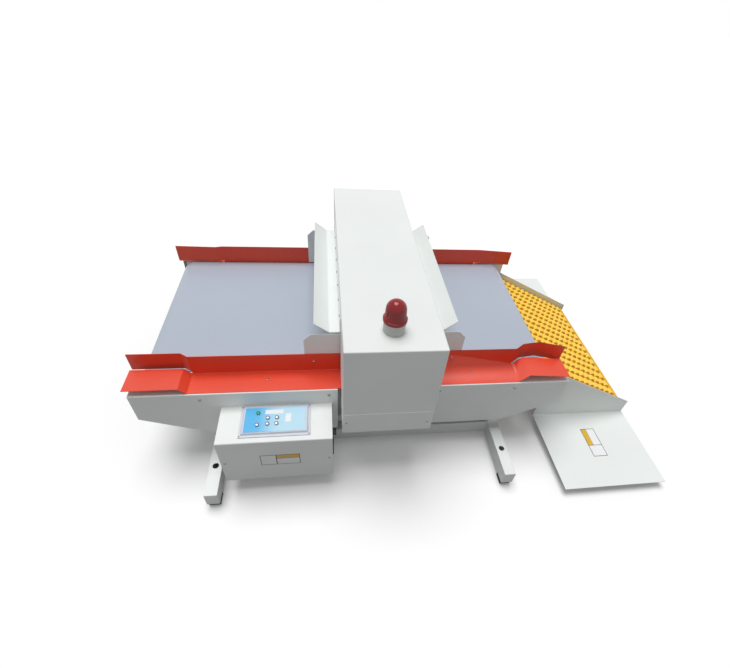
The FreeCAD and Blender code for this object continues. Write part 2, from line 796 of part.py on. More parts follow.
# places of the keys on the face plate, from its middle: along the belt, across it
KEYS = {
    "power_key": ("-key_first_column", "key_power_row"),
    "key_1": ("key_last_column - key_pitch", "key_upper_row"),
    "key_2": ("key_last_column", "key_upper_row"),
    "key_3": ("-key_first_column", "-key_lowest_row"),
    "key_4": ("key_last_column - key_pitch", "-key_lower_row"),
    "key_5": ("key_last_column", "-key_lower_row"),
}


def key_rod(name, key, radius, z):
    """An upright cylinder where a key stands."""
    column, line = KEYS[key]
    return rod(name, radius, "z", f"face_x + {column}", f"face_y + {line}", z)


def knob_rod(name, radius, x):
    """A cylinder on the knob's axis, which runs along the belt."""
    return rod(name, radius, "x", x, "box_front + knob_setback", "box_top - knob_drop")


def inlet_block(name, x, inset, height=None):
    """A box in the inlet's outline drawn in by an inset, from its lower edge up."""
    middle = "box_front + inlet_setback"
    half = f"(inlet_width / 2 - ({inset}))"
    low = f"box_top - inlet_drop - inlet_height + {inset}"
    high = f"{low} + {height}" if height else f"box_top - inlet_drop - ({inset})"
    return block(name, x, (f"{middle} - {half}", f"{middle} + {half}"), (low, high))


def make_control_box():
    """A sheet-metal box, open to the cover it is bolted to."""
    body = prism("box", "YZ", [("box_front", "box_bottom"), ("box_front", "box_top"),
                               ("-cover_face", "box_top"), ("-cover_face", "box_bottom")],
                 "-box_in_reach", "-box_out_reach")
    high = worth("box_top") - 1
    front = worth("box_front") + 1
    round_edges(body, "box_bend",
                lambda edge: edge.BoundBox.ZMin > high and edge.BoundBox.YMax < front)
    hollow(body, "box_gauge", lambda face: looks(face, V(0, 1, 0)))
    side = ("-box_out_reach - box_gauge - 1", "-box_out_reach + 1")
    part(cut("box_bored", body, knob_rod("box_knob_bore", "knob_stem + running_gap", side),
             inlet_block("box_inlet_hole", side, "inlet_body_inset - soft_gap")),
         "control_box")


def make_panel():
    """A raised bezel with sloping sides and a thin face plate, both bored for
    the keys' stems."""
    x = ("-bezel_in_reach", "bezel_length - bezel_in_reach")
    y = ("bezel_front", "bezel_front + bezel_depth")
    flange = block("bezel_flange_plate", x, y, ("box_top", "box_top + bezel_flange"))
    raised = doc.addObject("Part::Wedge", "bezel_raised")
    for prop, text in (("Xmin", "0"), ("Xmax", "bezel_length - 2 * bezel_lip"),
                       ("Zmin", "0"), ("Zmax", "bezel_depth - 2 * bezel_lip"),
                       ("Ymin", "0"), ("Ymax", "bezel_height - bezel_flange"),
                       ("X2min", "bezel_draft"),
                       ("X2max", "bezel_length - 2 * bezel_lip - bezel_draft"),
                       ("Z2min", "bezel_draft"),
                       ("Z2max", "bezel_depth - 2 * bezel_lip - bezel_draft")):
        bind(raised, prop, text)
    raised.Placement.Rotation = UPRIGHT["XZ"]
    bind(raised, "Placement.Base.x", along(f"{x[0]} + bezel_lip"))
    bind(raised, "Placement.Base.y", f"{y[1]} - bezel_lip")
    bind(raised, "Placement.Base.z", "box_top + bezel_flange")
    bezel = fuse("bezel_whole", flange, raised)
    plate = block("face_plate", ("face_x - face_length / 2", "face_x + face_length / 2"),
                  ("face_y - face_depth / 2", "face_y + face_depth / 2"),
                  ("face_bottom", "face_top"))
    for piece, label, z in ((bezel, "panel_bezel", ("box_top - 1", "face_bottom + 1")),
                            (plate, "panel_face", ("face_bottom - 1", "face_top + 1"))):
        bores = [key_rod(f"{label}_{key}_bore", key, "button_stem + running_gap", z)
                 for key in KEYS]
        part(cut(f"{label}_bored", piece, *bores), label)


def make_keys():
    """Round push keys on stems that slide in the panel."""
    low = "face_top + button_lift"
    for key in KEYS:
        cap = key_rod(f"{key}_cap", key, "button_radius", (low, f"{low} + button_height"))
        stem = key_rod(f"{key}_stem", key, "button_stem", (f"{low} - button_stem_length", low))
        part(fuse(f"{key}_whole", cap, stem), key)


def make_knob():
    """The sensitivity knob on the box's side."""
    face = "-box_out_reach + soft_gap"
    grip = knob_rod("knob_grip", "knob_radius", (face, f"{face} + knob_height"))
    stem = knob_rod("knob_shank", "knob_stem", ("-box_out_reach - box_gauge - 2", face))
    part(fuse("knob_whole", grip, stem), "knob")


def make_inlet():
    """The supply inlet: a flange on the box's side, a body through it, and a
    socket with three blades in the body's lower half."""
    mouth = "-box_out_reach + inlet_flange"
    floor = f"{mouth} - inlet_socket_depth"
    whole = fuse("inlet_whole",
                 inlet_block("inlet_plate", ("-box_out_reach", mouth), "0"),
                 inlet_block("inlet_body", ("-box_out_reach - inlet_body_depth",
                                            "-box_out_reach"), "inlet_body_inset"))
    socket = inlet_block("inlet_socket", (floor, f"{mouth} + 1"), "inlet_socket_inset",
                         "inlet_socket_height")
    middle = "box_front + inlet_setback"
    low = "box_top - inlet_drop - inlet_height + inlet_socket_inset"
    blades = []
    for name, aside, rise in (("live", "-inlet_blade_spread / 2", "inlet_pair_rise"),
                              ("neutral", "inlet_blade_spread / 2", "inlet_pair_rise"),
                              ("earth", "0", "inlet_earth_rise")):
        y = f"{middle} + {aside}"
        z = f"{low} + {rise} * inlet_socket_height"
        blades.append(block(f"inlet_blade_{name}", (floor, f"{floor} + inlet_blade_length"),
                            (f"{y} - inlet_blade_gauge / 2", f"{y} + inlet_blade_gauge / 2"),
                            (f"{z} - inlet_blade_width / 2", f"{z} + inlet_blade_width / 2")))
    part(fuse("inlet_bladed", cut("inlet_hollowed", whole, socket), *blades), "power_inlet")


# ---------------------------------------------------------------- discharge chute

def on_slope(thing):
    """Lay a piece, drawn along X from the chute's upper edge, on the slope."""
    thing.Placement.Rotation = FreeCAD.Rotation(V(0, 1, 0), worth("chute_slope"))
    bind(thing, "Placement.Rotation.Angle", "chute_slope")
    bind(thing, "Placement.Base.x", along("chute_start"))
    bind(thing, "Placement.Base.z", "chute_edge")
    return thing


def sloped_block(name, run, half_width, depth):
    """A box to lay on the slope: run downhill, depth in under the chute's edge."""
    box = doc.addObject("Part::Box", name)
    y = (f"-({half_width})", half_width)
    z = (f"-({depth[1]})", f"-({depth[0]})")
    for prop, axis, (low, high) in (("Length", "x", run), ("Width", "y", y),
                                    ("Height", "z", z)):
        bind(box, prop, f"({high}) - ({low})")
        bind(box, f"Placement.Base.{axis}", low)
    return box


def sloped_rod(name, radius, row, half_width):
    """A cylinder to lay on the slope, on a wheel row's axis."""
    cylinder = doc.addObject("Part::Cylinder", name)
    cylinder.Placement.Rotation = ALONG["y"]
    bind(cylinder, "Radius", radius)
    bind(cylinder, "Height", f"2 * ({half_width})")
    bind(cylinder, "Placement.Base.x", f"wheel_first + {row} * wheel_pitch")
    bind(cylinder, "Placement.Base.y", f"-({half_width})")
    bind(cylinder, "Placement.Base.z", "-axle_sink")
    return cylinder


def count_rows():
    """As many rows of wheels as the tray has room for."""
    room = worth("tray_end - wheel_first - wheel_radius")
    return int(room / worth("wheel_pitch")) + 1


def make_chute_sides():
    """A side plate of the chute, lapped onto the side frame and folded out
    at the bottom into a wide level apron."""
    lap = along("chute_start - chute_lap")
    points = [(lap, "chute_edge + chute_lap * tan(chute_slope)"), (lap, "frame_end"),
              (along("apron_in_reach"), "frame_end"),
              (along("apron_in_reach"), "apron_height"),
              (along("chute_reach"), "apron_height"),
              (along("chute_reach"), "chute_end_height")]
    cheek = prism("cheek", "XZ", points, "-frame_inside", "-cheek_inside")
    apron = block("apron", ("apron_in_reach", "chute_reach"),
                  ("-apron_half", "-cheek_inside"),
                  ("apron_height", "apron_height + chute_gauge"))
    both_sides("chute_side", fuse("cheek_folded", cheek, apron))


def make_tray():
    """A shallow channel between the side plates, with a fixed axle across it
    for each row of wheels."""
    rim = "axle_sink - tray_lip"
    outer = sloped_block("tray_outer", ("tray_start", "tray_end"), "cheek_inside",
                         (rim, "tray_sink + tray_gauge"))
    inner = sloped_block("tray_inner", ("tray_start - 1", "tray_end + 1"),
                         "cheek_inside - tray_gauge", (f"{rim} - 1", "tray_sink"))
    axles = [sloped_rod(f"tray_axle_{row}", "axle_radius", row,
                        "cheek_inside - tray_gauge / 2")
             for row in range(count_rows())]
    channel = cut("tray_channel", outer, inner)
    part(on_slope(fuse("tray_with_axles", channel, *axles)), "chute_tray")


def make_wheel_rows():
    """Rows of wheels side by side, turning on the tray's axles."""
    half_width = "cheek_inside - tray_gauge - wheel_side_gap"
    for row in range(count_rows()):
        number = f"{row + 1:02d}"
        tread = sloped_rod(f"row_{number}_tread", "wheel_radius", row, half_width)
        bore = sloped_rod(f"row_{number}_bore", "axle_radius + running_gap", row,
                          f"{half_width} + 1")
        part(on_slope(cut(f"row_{number}", tread, bore)), f"wheel_row_{number}")


# ---------------------------------------------------------------- build and write

def build():
    make_base()
    make_side_frames()
    make_covers()
    make_belt()
    make_slider()
    make_roller("drive_roller", "roller_x")
    make_roller("idler_roller", "-roller_x")
    make_guides()
    make_head()
    make_head_panel()
    make_sensor()
    make_hood("hood_infeed", "-head_in", "-")
    make_hood("hood_outfeed", "head_out", "+")
    make_wings()
    make_beacon()
    make_control_box()
    make_panel()
    make_keys()
    make_knob()
    make_inlet()
    make_chute_sides()
    make_tray()
    make_wheel_rows()
    doc.recompute()


def check():
    """Stop if any feature failed or any part is not one sound solid."""
    for thing in doc.Objects:
        if "Invalid" in thing.State or "Error" in thing.State:
            raise RuntimeError(f"{thing.Label} did not build: {thing.State}")
    for thing in parts:
        shape = thing.Shape
        if shape.isNull() or not shape.isValid() or len(shape.Solids) != 1:
            raise RuntimeError(f"{thing.Label} is not one sound solid")


def write():
    os.makedirs("parts", exist_ok=True)
    for thing in parts:
        thing.Shape.exportStep(f"parts/{thing.Label}.step")
    print(f"{len(parts)} parts written")


build()
check()
write()
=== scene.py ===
# %% [markdown]
# # A conveyor metal detector
# The machine is a low belt conveyor that runs through a white portal, the
# detection head. Red folded rails guide the goods, a beacon stands on the head,
# a control box hangs at the side, and a chute of small yellow wheels takes the
# goods away. The engineering model already has every part in its place, so this
# file only gives the parts their real edges and finishes. Everything is in
# metres, and every place is read from the model's own boxes.

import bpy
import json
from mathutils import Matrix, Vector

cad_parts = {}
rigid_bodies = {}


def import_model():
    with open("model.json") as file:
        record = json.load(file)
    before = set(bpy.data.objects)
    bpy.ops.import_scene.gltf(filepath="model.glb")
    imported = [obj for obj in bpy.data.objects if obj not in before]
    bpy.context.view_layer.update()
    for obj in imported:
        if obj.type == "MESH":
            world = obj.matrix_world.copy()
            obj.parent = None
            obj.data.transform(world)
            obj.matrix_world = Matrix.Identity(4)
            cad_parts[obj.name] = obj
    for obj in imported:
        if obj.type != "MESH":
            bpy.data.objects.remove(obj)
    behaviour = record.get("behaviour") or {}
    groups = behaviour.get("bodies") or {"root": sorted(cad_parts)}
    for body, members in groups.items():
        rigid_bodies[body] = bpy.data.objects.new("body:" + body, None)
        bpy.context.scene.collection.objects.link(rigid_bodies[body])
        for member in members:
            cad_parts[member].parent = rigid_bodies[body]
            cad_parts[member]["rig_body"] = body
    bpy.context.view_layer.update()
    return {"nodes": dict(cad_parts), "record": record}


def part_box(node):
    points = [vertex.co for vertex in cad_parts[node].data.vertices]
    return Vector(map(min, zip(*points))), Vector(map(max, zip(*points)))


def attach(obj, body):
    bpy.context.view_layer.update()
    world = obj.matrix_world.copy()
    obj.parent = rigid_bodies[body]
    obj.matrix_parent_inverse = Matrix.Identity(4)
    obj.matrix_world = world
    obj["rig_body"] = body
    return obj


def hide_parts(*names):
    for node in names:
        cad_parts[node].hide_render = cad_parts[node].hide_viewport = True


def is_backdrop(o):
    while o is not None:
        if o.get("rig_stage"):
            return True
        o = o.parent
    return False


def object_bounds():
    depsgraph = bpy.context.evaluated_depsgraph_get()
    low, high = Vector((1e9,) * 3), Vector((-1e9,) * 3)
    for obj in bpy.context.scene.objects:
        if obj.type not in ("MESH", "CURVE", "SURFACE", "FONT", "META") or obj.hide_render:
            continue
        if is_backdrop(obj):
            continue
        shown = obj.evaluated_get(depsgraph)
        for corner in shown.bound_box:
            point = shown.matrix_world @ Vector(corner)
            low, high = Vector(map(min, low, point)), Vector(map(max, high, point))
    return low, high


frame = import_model()

# %% [markdown]
# ## Names
# Three tables come straight from the engineering model: each node's box, the body
# that it rides on, and the finish that the record gives it. Sizes are written in
# millimetres and turned into metres by one factor.

# %% Names used everywhere
import json
import math

import bmesh
import bpy
from mathutils import Matrix, Vector

MM = 0.001
box = {name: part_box(name) for name in frame["nodes"]}
body_of = {name: thing["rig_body"] for name, thing in frame["nodes"].items()}
slot_of = {row["node"]: row["material_slot"] for row in frame["record"]["subparts"]}
print("head box", [round(v, 4) for corner in box["head_shell"] for v in corner])


# %% [markdown]
# ## Colours and nodes
# A colour is written as the hex value that it should have on screen. Blender
# works in linear light, so one function turns the value. A second function adds
# any node to a tree, with its settings and its links, which keeps each material
# below down to the few lines that make it what it is.

# %% A hex colour in linear light
def linear(code):
    """'#RRGGBB' as a linear colour with full alpha."""
    parts = [int(code[i:i + 2], 16) / 255 for i in (1, 3, 5)]
    return (*(p / 12.92 if p <= 0.04045 else ((p + 0.055) / 1.055) ** 2.4
              for p in parts), 1.0)


print("white coat in linear light", [round(v, 3) for v in linear("#EBEEEC")])


# %% One function that adds a node
def add(tree, kind, sockets=None, **settings):
    """A node of this kind. A socket is given a value, or a socket to link from."""
    made = tree.nodes.new(kind)
    for name, value in settings.items():
        setattr(made, name, value)
    for name, value in (sockets or {}).items():
        if isinstance(value, bpy.types.NodeSocket):
            tree.links.new(value, made.inputs[name])
        else:
            made.inputs[name].default_value = value
    return made


# %% [markdown]
# ## Finishes
# Most surfaces of a machine have the same three things in common: a colour that
# drifts a little from place to place, a gloss that drifts with it, and a fine
# relief. So one function makes a surface of those three, from real sizes in
# millimetres, and a finish that needs more adds it afterwards. All patterns are
# read from object coordinates, so they keep their scale on every part.

# %% A surface with drift and relief
def surface(name, tint, shade, patch, rough, grain, relief, fixed=None):
    """A material between two colours, in patches of a size, with a relief.
    Sizes are in millimetres."""
    material = bpy.data.materials.new(name)
    material.use_nodes = True
    tree = material.node_tree
    shader = tree.nodes["Principled BSDF"]
    for socket, value in (fixed or {}).items():
        shader.inputs[socket].default_value = value
    place = add(tree, "ShaderNodeTexCoord").outputs["Object"]
    cloud = add(tree, "ShaderNodeTexNoise",
                {"Vector": place, "Scale": 1 / (patch * MM), "Detail": 3.0})
    drift = add(tree, "ShaderNodeMapRange", {"Value": cloud.outputs["Fac"],
                                             "From Min": 0.3, "From Max": 0.7})
    colour = add(tree, "ShaderNodeMix",
                 {0: drift.outputs["Result"], 6: linear(tint), 7: linear(shade)},
                 data_type="RGBA", label="colour")
    gloss = add(tree, "ShaderNodeMapRange", {"Value": drift.outputs["Result"],
                                             "To Min": rough[0], "To Max": rough[1]})
    grit = add(tree, "ShaderNodeTexNoise",
               {"Vector": place, "Scale": 1 / (grain * MM), "Detail": 2.0}, label="grit")
    bump = add(tree, "ShaderNodeBump", {"Height": grit.outputs["Fac"],
                                        "Distance": relief * MM}, label="relief")
    tree.links.new(colour.outputs[2], shader.inputs["Base Color"])
    tree.links.new(gloss.outputs["Result"], shader.inputs["Roughness"])
    tree.links.new(bump.outputs["Normal"], shader.inputs["Normal"])
    return material


# %% Powder coat, zinc, steel, rubber and plastics
finish = {
    # Polyester powder baked on steel sheet: an even satin with a faint orange
    # peel. The real peel is about 1.5 mm wide and is drawn at 3 mm to show.
    "white_coat": surface("powder_coat_white", "#EDF1EF", "#E8ECEA", 260,
                          (0.40, 0.50), 3.0, 0.02),
    "red_coat": surface("powder_coat_red", "#EA4E33", "#E3472D", 180,
                        (0.34, 0.44), 3.0, 0.02),
    "tray_coat": surface("powder_coat_amber", "#F6BC32", "#F0B42A", 60,
                         (0.45, 0.55), 3.0, 0.02),
    # Cold-drawn steel, ground: pale, with a soft mirror.
    "bright_steel": surface("ground_steel", "#C6C8C9", "#BDBFC1", 30,
                            (0.26, 0.36), 0.8, 0.004, {"Metallic": 1.0}),
    # Zinc plate on small screws: darker and softer than ground steel.
    "zinc_plate": surface("zinc_plated_steel", "#9C9FA2", "#85888B", 4,
                          (0.30, 0.42), 0.6, 0.003, {"Metallic": 1.0}),
    # The search coil's cover, a cast resin slab.
    "sensor_case": surface("epoxy_resin_grey", "#8E9498", "#868C90", 60,
                           (0.45, 0.55), 2.0, 0.02),
    # Moulded nitrile rubber: nearly black, dull and slightly dusty.
    "pad_rubber": surface("nitrile_rubber", "#1D1D1E", "#2A2A2B", 14,
                          (0.70, 0.85), 1.2, 0.03),
    # Injection-moulded ABS in the beacon's base.
    "beacon_grey": surface("moulded_abs_grey", "#C3C5C0", "#BABCB7", 20,
                           (0.38, 0.46), 0.9, 0.01),
    "black_plastic": surface("moulded_abs_black", "#151617", "#1D1E1F", 12,
                             (0.36, 0.46), 0.8, 0.01),
    # Cast aluminium under silver lacquer, round the panel.
    "bezel_alloy": surface("silver_lacquer", "#D6D9E2", "#CFD2DB", 25,
                           (0.32, 0.40), 0.5, 0.004),
    # Satin-chromed brass keys.
    "bright_key": surface("satin_chrome", "#B2B4B6", "#A9ABAD", 6,
                          (0.30, 0.38), 2.0, 0.002, {"Metallic": 1.0}),
    # A clear-lacquered green key.
    "green_key": surface("gloss_abs_green", "#1F9A5A", "#198E50", 6,
                         (0.16, 0.22), 1.0, 0.004, {"Coat Weight": 0.5,
                                                    "Coat Roughness": 0.08}),
    # Moulded acetal wheels: a warm yellow with a soft shine.
    "yellow_wheel": surface("moulded_acetal_yellow", "#FFD547", "#FBCF3E", 30,
                            (0.34, 0.42), 1.2, 0.012),
    "label_white": surface("vinyl_white", "#F1F2F4", "#ECEDF0", 20,
                           (0.30, 0.36), 0.8, 0.004),
    "label_amber": surface("vinyl_amber", "#E3B52C", "#DDAD24", 20,
                           (0.30, 0.36), 0.8, 0.004),
    "label_dark": surface("vinyl_dark", "#2F3336", "#34383B", 20,
                          (0.32, 0.38), 0.8, 0.004),
}
print("finishes", sorted(finish))


# %% [markdown]
# ## The belt's PVC
# A light conveyor belt is a woven polyester ply with a smooth PVC face. The face
# is satin, and the weave prints through it faintly. Two wave textures crossed at
# right angles give the weave. Real threads lie about 0.6 mm apart, too fine to
# show from here, so they are drawn 2.4 mm apart and very shallow.

# %% PVC with the weave printing through
finish["belt_pvc"] = surface("pvc_belt_face", "#B3BCCA", "#ADB6C4", 420,
                             (0.36, 0.46), 2.4, 0.006)
tree = finish["belt_pvc"].node_tree
relief = next(n for n in tree.nodes if n.label == "relief")
place = add(tree, "ShaderNodeTexCoord").outputs["Object"]
THREAD = 2.4 * MM
waves = [add(tree, "ShaderNodeTexWave",
             {"Vector": place, "Scale": 1 / (THREAD * 3.2)},
             bands_direction=axis).outputs["Fac"] for axis in ("X", "Y")]
weave = add(tree, "ShaderNodeMath", {0: waves[0], 1: waves[1]}, operation="MULTIPLY")
tree.links.new(weave.outputs[0], relief.inputs["Height"])
relief.inputs["Distance"].default_value = 0.012 * MM
print("thread spacing drawn", THREAD / MM, "mm")

# %% [markdown]
# ## The beacon's red lens
# The lens is polycarbonate dyed a deep red, so most of what the eye gets is the
# dye, under a hard gloss. A little transmission, with the plastic's own
# refraction, lets the reflector and the flutes inside show faintly.

# %% Dyed polycarbonate
lens_red = surface("dyed_polycarbonate_red", "#A40511", "#9A040F", 40, (0.06, 0.10),
                   3.0, 0.002, {"Transmission Weight": 0.12, "IOR": 1.585,
                                "Specular IOR Level": 0.3})
finish["red_lens"] = lens_red
print("lens passes light:", lens_red.name)

# %% [markdown]
# ## The printed membrane
# The panel is a polyester film printed from behind, deeper blue at its infeed end
# and fading to a pale blue. The fade is a print, so it is drawn along the film by
# its own coordinates: a gradient from one end of the face plate to the other.

# %% Polyester film with a printed fade
film = surface("printed_polyester_film", "#52B9EE", "#4FB6EC", 40, (0.26, 0.32),
               0.6, 0.004, {"Coat Weight": 0.3, "Coat Roughness": 0.15})
finish["blue_film"] = film
tree = film.node_tree
face_low, face_high = box["panel_face"]
apart = add(tree, "ShaderNodeSeparateXYZ",
            {0: add(tree, "ShaderNodeTexCoord").outputs["Object"]})
fade = add(tree, "ShaderNodeMapRange",
           {"Value": apart.outputs["X"], "From Min": face_low.x + 0.025,
            "From Max": face_low.x + 0.105}, interpolation_type="SMOOTHSTEP")
colour = next(n for n in tree.nodes if n.label == "colour")
faded = add(tree, "ShaderNodeMix", {0: fade.outputs["Result"],
                                    6: colour.outputs[2], 7: linear("#B9E0F2")},
            data_type="RGBA")
tree.links.new(faded.outputs[2], tree.nodes["Principled BSDF"].inputs["Base Color"])
print("fade runs over", round((face_high.x - face_low.x) / MM), "mm of film")


# %% [markdown]
# ## The tabs of the guide rails
# The outer end of each rail is slit into two tabs. The wall tab is pinched in
# towards the belt, and the flange tab is lifted. The engineering model has them
# in short form, so each copy is drawn to its real fold lines: a table for each
# rail says where its folds lie along the belt, how much further its wall tab
# leans in, and how much further its flange tab rises.

# %% Fold the tabs
BELT_MIDDLE = -200.5          # where the belt's middle is along the machine
WALL = 306.0                  # a rail's wall, from the belt's centre line
STRAIGHT = 230.0              # from here to the first fold a rail may stretch
TABS = {
    # fold lines with their real places, then how much more lean and rise
    "guide_outfeed_front": ([(533, 515), (555, 547), (610, 607), (690, 690)],
                            [(533, 0), (555, 7), (610, 2), (690, 1)],
                            [(533, 0), (555, 10), (690, -3)]),
    "guide_outfeed_back": ([(533, 545), (555, 563), (702, 702)],
                           [(533, 0), (555, -14), (702, 2)],
                           [(533, 0), (555, -14), (702, -14)]),
    "guide_infeed_back": ([(508, 508), (680, 680)],
                          [(508, 0), (530, -9), (680, -14)],
                          [(508, 0), (530, -14), (680, -14)]),
}


def between(knots, x):
    """The value at x on the line through the knots."""
    for (x0, y0), (x1, y1) in zip(knots, knots[1:]):
        if x <= x1:
            return y0 + (y1 - y0) * (x - x0) / (x1 - x0)
    return knots[-1][1]


def fold_tab(work, folds, lean, rise):
    """Move a rail's fold lines, wall tab and flange tab to their real places."""
    for vertex in work.verts:
        x = vertex.co.x / MM - BELT_MIDDLE
        along, side = abs(x), math.copysign(1, vertex.co.y)
        if along < folds[0][0] - 0.01:
            if along > STRAIGHT:
                stretch = (folds[0][1] - STRAIGHT) / (folds[0][0] - STRAIGHT)
                along = STRAIGHT + (along - STRAIGHT) * stretch
                vertex.co.x = (math.copysign(along, x) + BELT_MIDDLE) * MM
            continue
        if abs(vertex.co.y) / MM < WALL - 1:
            vertex.co.y -= side * between(lean, along) * MM
        else:
            vertex.co.z += between(rise, along) * MM
        vertex.co.x = (math.copysign(between(folds, along), x) + BELT_MIDDLE) * MM


print("tabs folded on", len(TABS), "rails")

# %% [markdown]
# ## From sharp solids to formed metal
# The engineering model has knife-sharp edges. Real sheet is folded over a
# radius, and its cut rims are deburred, and those small curves are what catches
# the light. A copy of each part is merged and its flat faces joined, then each
# sharp edge gets a bevel weight: full where two broad faces meet, which is a
# bend, and small along a rim. One Bevel modifier rounds both at once. Where bends
# crowd each other a bevel can throw points far outside the part, so the result is
# measured: if it left its box or lost volume, the rounding is held back to fit.

# %% Round a copy of a part
BROAD = 5 * MM                # a face wider than this is a sheet's, not a rim's
CREASE = math.radians(32)     # flatter edges lie on a curve and stay as they are
SEGMENTS = 3                  # flats across each rounded edge
SLACK = 0.05 * MM             # how far rounding may reach past a part
LOSS = 0.005                  # and how much of its volume it may change


def breadth(face):
    """How wide a face is: the width of a strip with its area and outline."""
    return 2 * face.calc_area() / face.calc_perimeter()


def measured(mesh):
    """A mesh's volume, and its lowest and highest place along each axis."""
    work = bmesh.new()
    work.from_mesh(mesh)
    volume = work.calc_volume()
    reach = [(min(v.co[i] for v in work.verts), max(v.co[i] for v in work.verts))
             for i in range(3)]
    work.free()
    return volume, reach


def sound(piece):
    """Whether the rounding kept a part inside its box, and kept its volume."""
    shape = piece.evaluated_get(bpy.context.evaluated_depsgraph_get())
    volume, reach = measured(piece.data)
    new_volume, new_reach = measured(shape.to_mesh())
    shape.to_mesh_clear()
    inside = all(old[0] - SLACK < new[0] and new[1] < old[1] + SLACK
                 for old, new in zip(reach, new_reach))
    return inside and abs(new_volume / volume - 1) < LOSS


def formed(node, bend, rim):
    """A copy of a part with rounded bends and rims, standing for the part.
    Where bends crowd each other the rounding is held back, or left out."""
    work = bmesh.new()
    work.from_mesh(frame["nodes"][node].data)
    bmesh.ops.remove_doubles(work, verts=work.verts, dist=0.004 * MM)
    if node in TABS:
        fold_tab(work, *TABS[node])
    bmesh.ops.dissolve_limit(work, angle_limit=math.radians(1), verts=work.verts,
                             edges=work.edges)
    weight = work.edges.layers.float.new("bevel_weight_edge")
    for edge in work.edges:
        if edge.is_manifold and edge.calc_face_angle() > CREASE:
            narrow = min(breadth(face) for face in edge.link_faces)
            edge[weight] = 1.0 if narrow > BROAD else rim / bend
    mesh = bpy.data.meshes.new(f"{node}_formed")
    work.to_mesh(mesh)
    work.free()
    mesh.shade_smooth()
    piece = bpy.data.objects.new(f"{node}_formed", mesh)
    bpy.context.scene.collection.objects.link(piece)
    rounding = piece.modifiers.new("rounding", "BEVEL")
    rounding.limit_method = "WEIGHT"
    rounding.width = bend * MM
    rounding.segments = SEGMENTS
    rounding.use_clamp_overlap = False
    rounding.miter_outer = "MITER_ARC"
    if not sound(piece):
        rounding.use_clamp_overlap = True
        print(node, "rounding held back")
        if not sound(piece):
            piece.modifiers.remove(rounding)
            print(node, "left sharp")
    levelling = piece.modifiers.new("levelling", "WEIGHTED_NORMAL")
    levelling.keep_sharp = True
    settle(piece)
    dress(piece, finish[slot_of[node]], body_of[node])
    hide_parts(node)
    return piece


# %% Turn modifiers into plain mesh, and dress a piece
def settle(piece):
    """Apply a piece's modifiers for good."""
    graph = bpy.context.evaluated_depsgraph_get()
    made = bpy.data.meshes.new_from_object(piece.evaluated_get(graph))
    piece.modifiers.clear()
    piece.data = made
    made.name = piece.name


def dress(piece, material, body):
    """Give a piece its finish and its body."""
    if material is not None:
        piece.data.materials.clear()
        piece.data.materials.append(material)
    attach(piece, body)


# %% Fold, deburr and coat the metalwork
SHAPES = {
    # bend and rim radius in millimetres, and the parts
    (4.0, 0.5): ["foot_infeed", "foot_outfeed", "stretcher_front", "stretcher_back",
                 "pedestal_front", "pedestal_back"],
    (3.0, 0.8): ["side_frame_front", "side_frame_back"],
    (2.5, 0.5): ["cover_infeed_front", "cover_infeed_back", "cover_outfeed_front",
                 "cover_outfeed_back", "chute_side_front", "chute_side_back",
                 "hood_infeed", "hood_outfeed", "control_box"],
    (1.8, 0.45): ["guide_infeed_front", "guide_infeed_back", "guide_outfeed_front",
                  "guide_outfeed_back"],
    (2.0, 0.5): ["head_shell", "pad_infeed_front", "pad_infeed_back",
                 "pad_outfeed_front", "pad_outfeed_back", "lower_sensor"],
    (1.0, 0.35): ["wing_front", "wing_back", "head_panel", "belt", "slider_bed",
                  "chute_tray", "power_inlet", "drive_roller", "idler_roller"],
    (0.6, 0.3): ["panel_bezel", "panel_face"],
}
for (bend, rim), nodes in SHAPES.items():
    for node in nodes:
        piece = formed(node, bend, rim)
        work = bmesh.new()
        work.from_mesh(piece.data)
        print(piece.name, len(work.faces), "faces, open edges",
              sum(not edge.is_manifold for edge in work.edges))
        work.free()

# %% [markdown]
# ## The wheel rows
# The chute's bed is thirteen rows of small moulded wheels, each row turning on
# its own fixed axle. This repeats along two directions by one rule, so Geometry
# Nodes make it: a wheel is a four-sided profile swept round a circle, with its
# corners rounded, and a line of points across the chute carries the wheels. A
# thin hub tube joins the wheels of a row. Each row is turned into its own plain
# mesh, because each rides on its own body.

# %% A tree's group, with named inputs
def new_tree(name, inputs):
    """A Geometry Nodes group with these named inputs, and its two end nodes."""
    group = bpy.data.node_groups.new(name, "GeometryNodeTree")
    for label, kind in inputs.items():
        group.interface.new_socket(name=label, in_out="INPUT",
                                   socket_type=f"NodeSocket{kind}")
    group.interface.new_socket(name="Geometry", in_out="OUTPUT",
                               socket_type="NodeSocketGeometry")
    return group, group.nodes.new("NodeGroupInput"), group.nodes.new("NodeGroupOutput")


def close_tree(group, start, end, geometry):
    """Make the instances real and set the finish, which every tree ends with."""
    real = add(group, "GeometryNodeRealizeInstances", {"Geometry": geometry})
    coated = add(group, "GeometryNodeSetMaterial",
                 {"Geometry": real.outputs[0], "Material": start.outputs["Finish"]})
    group.links.new(coated.outputs[0], end.inputs["Geometry"])


def grown(name, group, values, mesh=None):
    """A plain mesh object made by a group with these input values."""
    piece = bpy.data.objects.new(name, mesh or bpy.data.meshes.new(name))
    bpy.context.scene.collection.objects.link(piece)
    modifier = piece.modifiers.new("growth", "NODES")
    modifier.node_group = group
    for item in group.interface.items_tree:
        if item.in_out == "INPUT" and item.name in values:
            modifier[item.identifier] = values[item.name]
    settle(piece)
    return piece


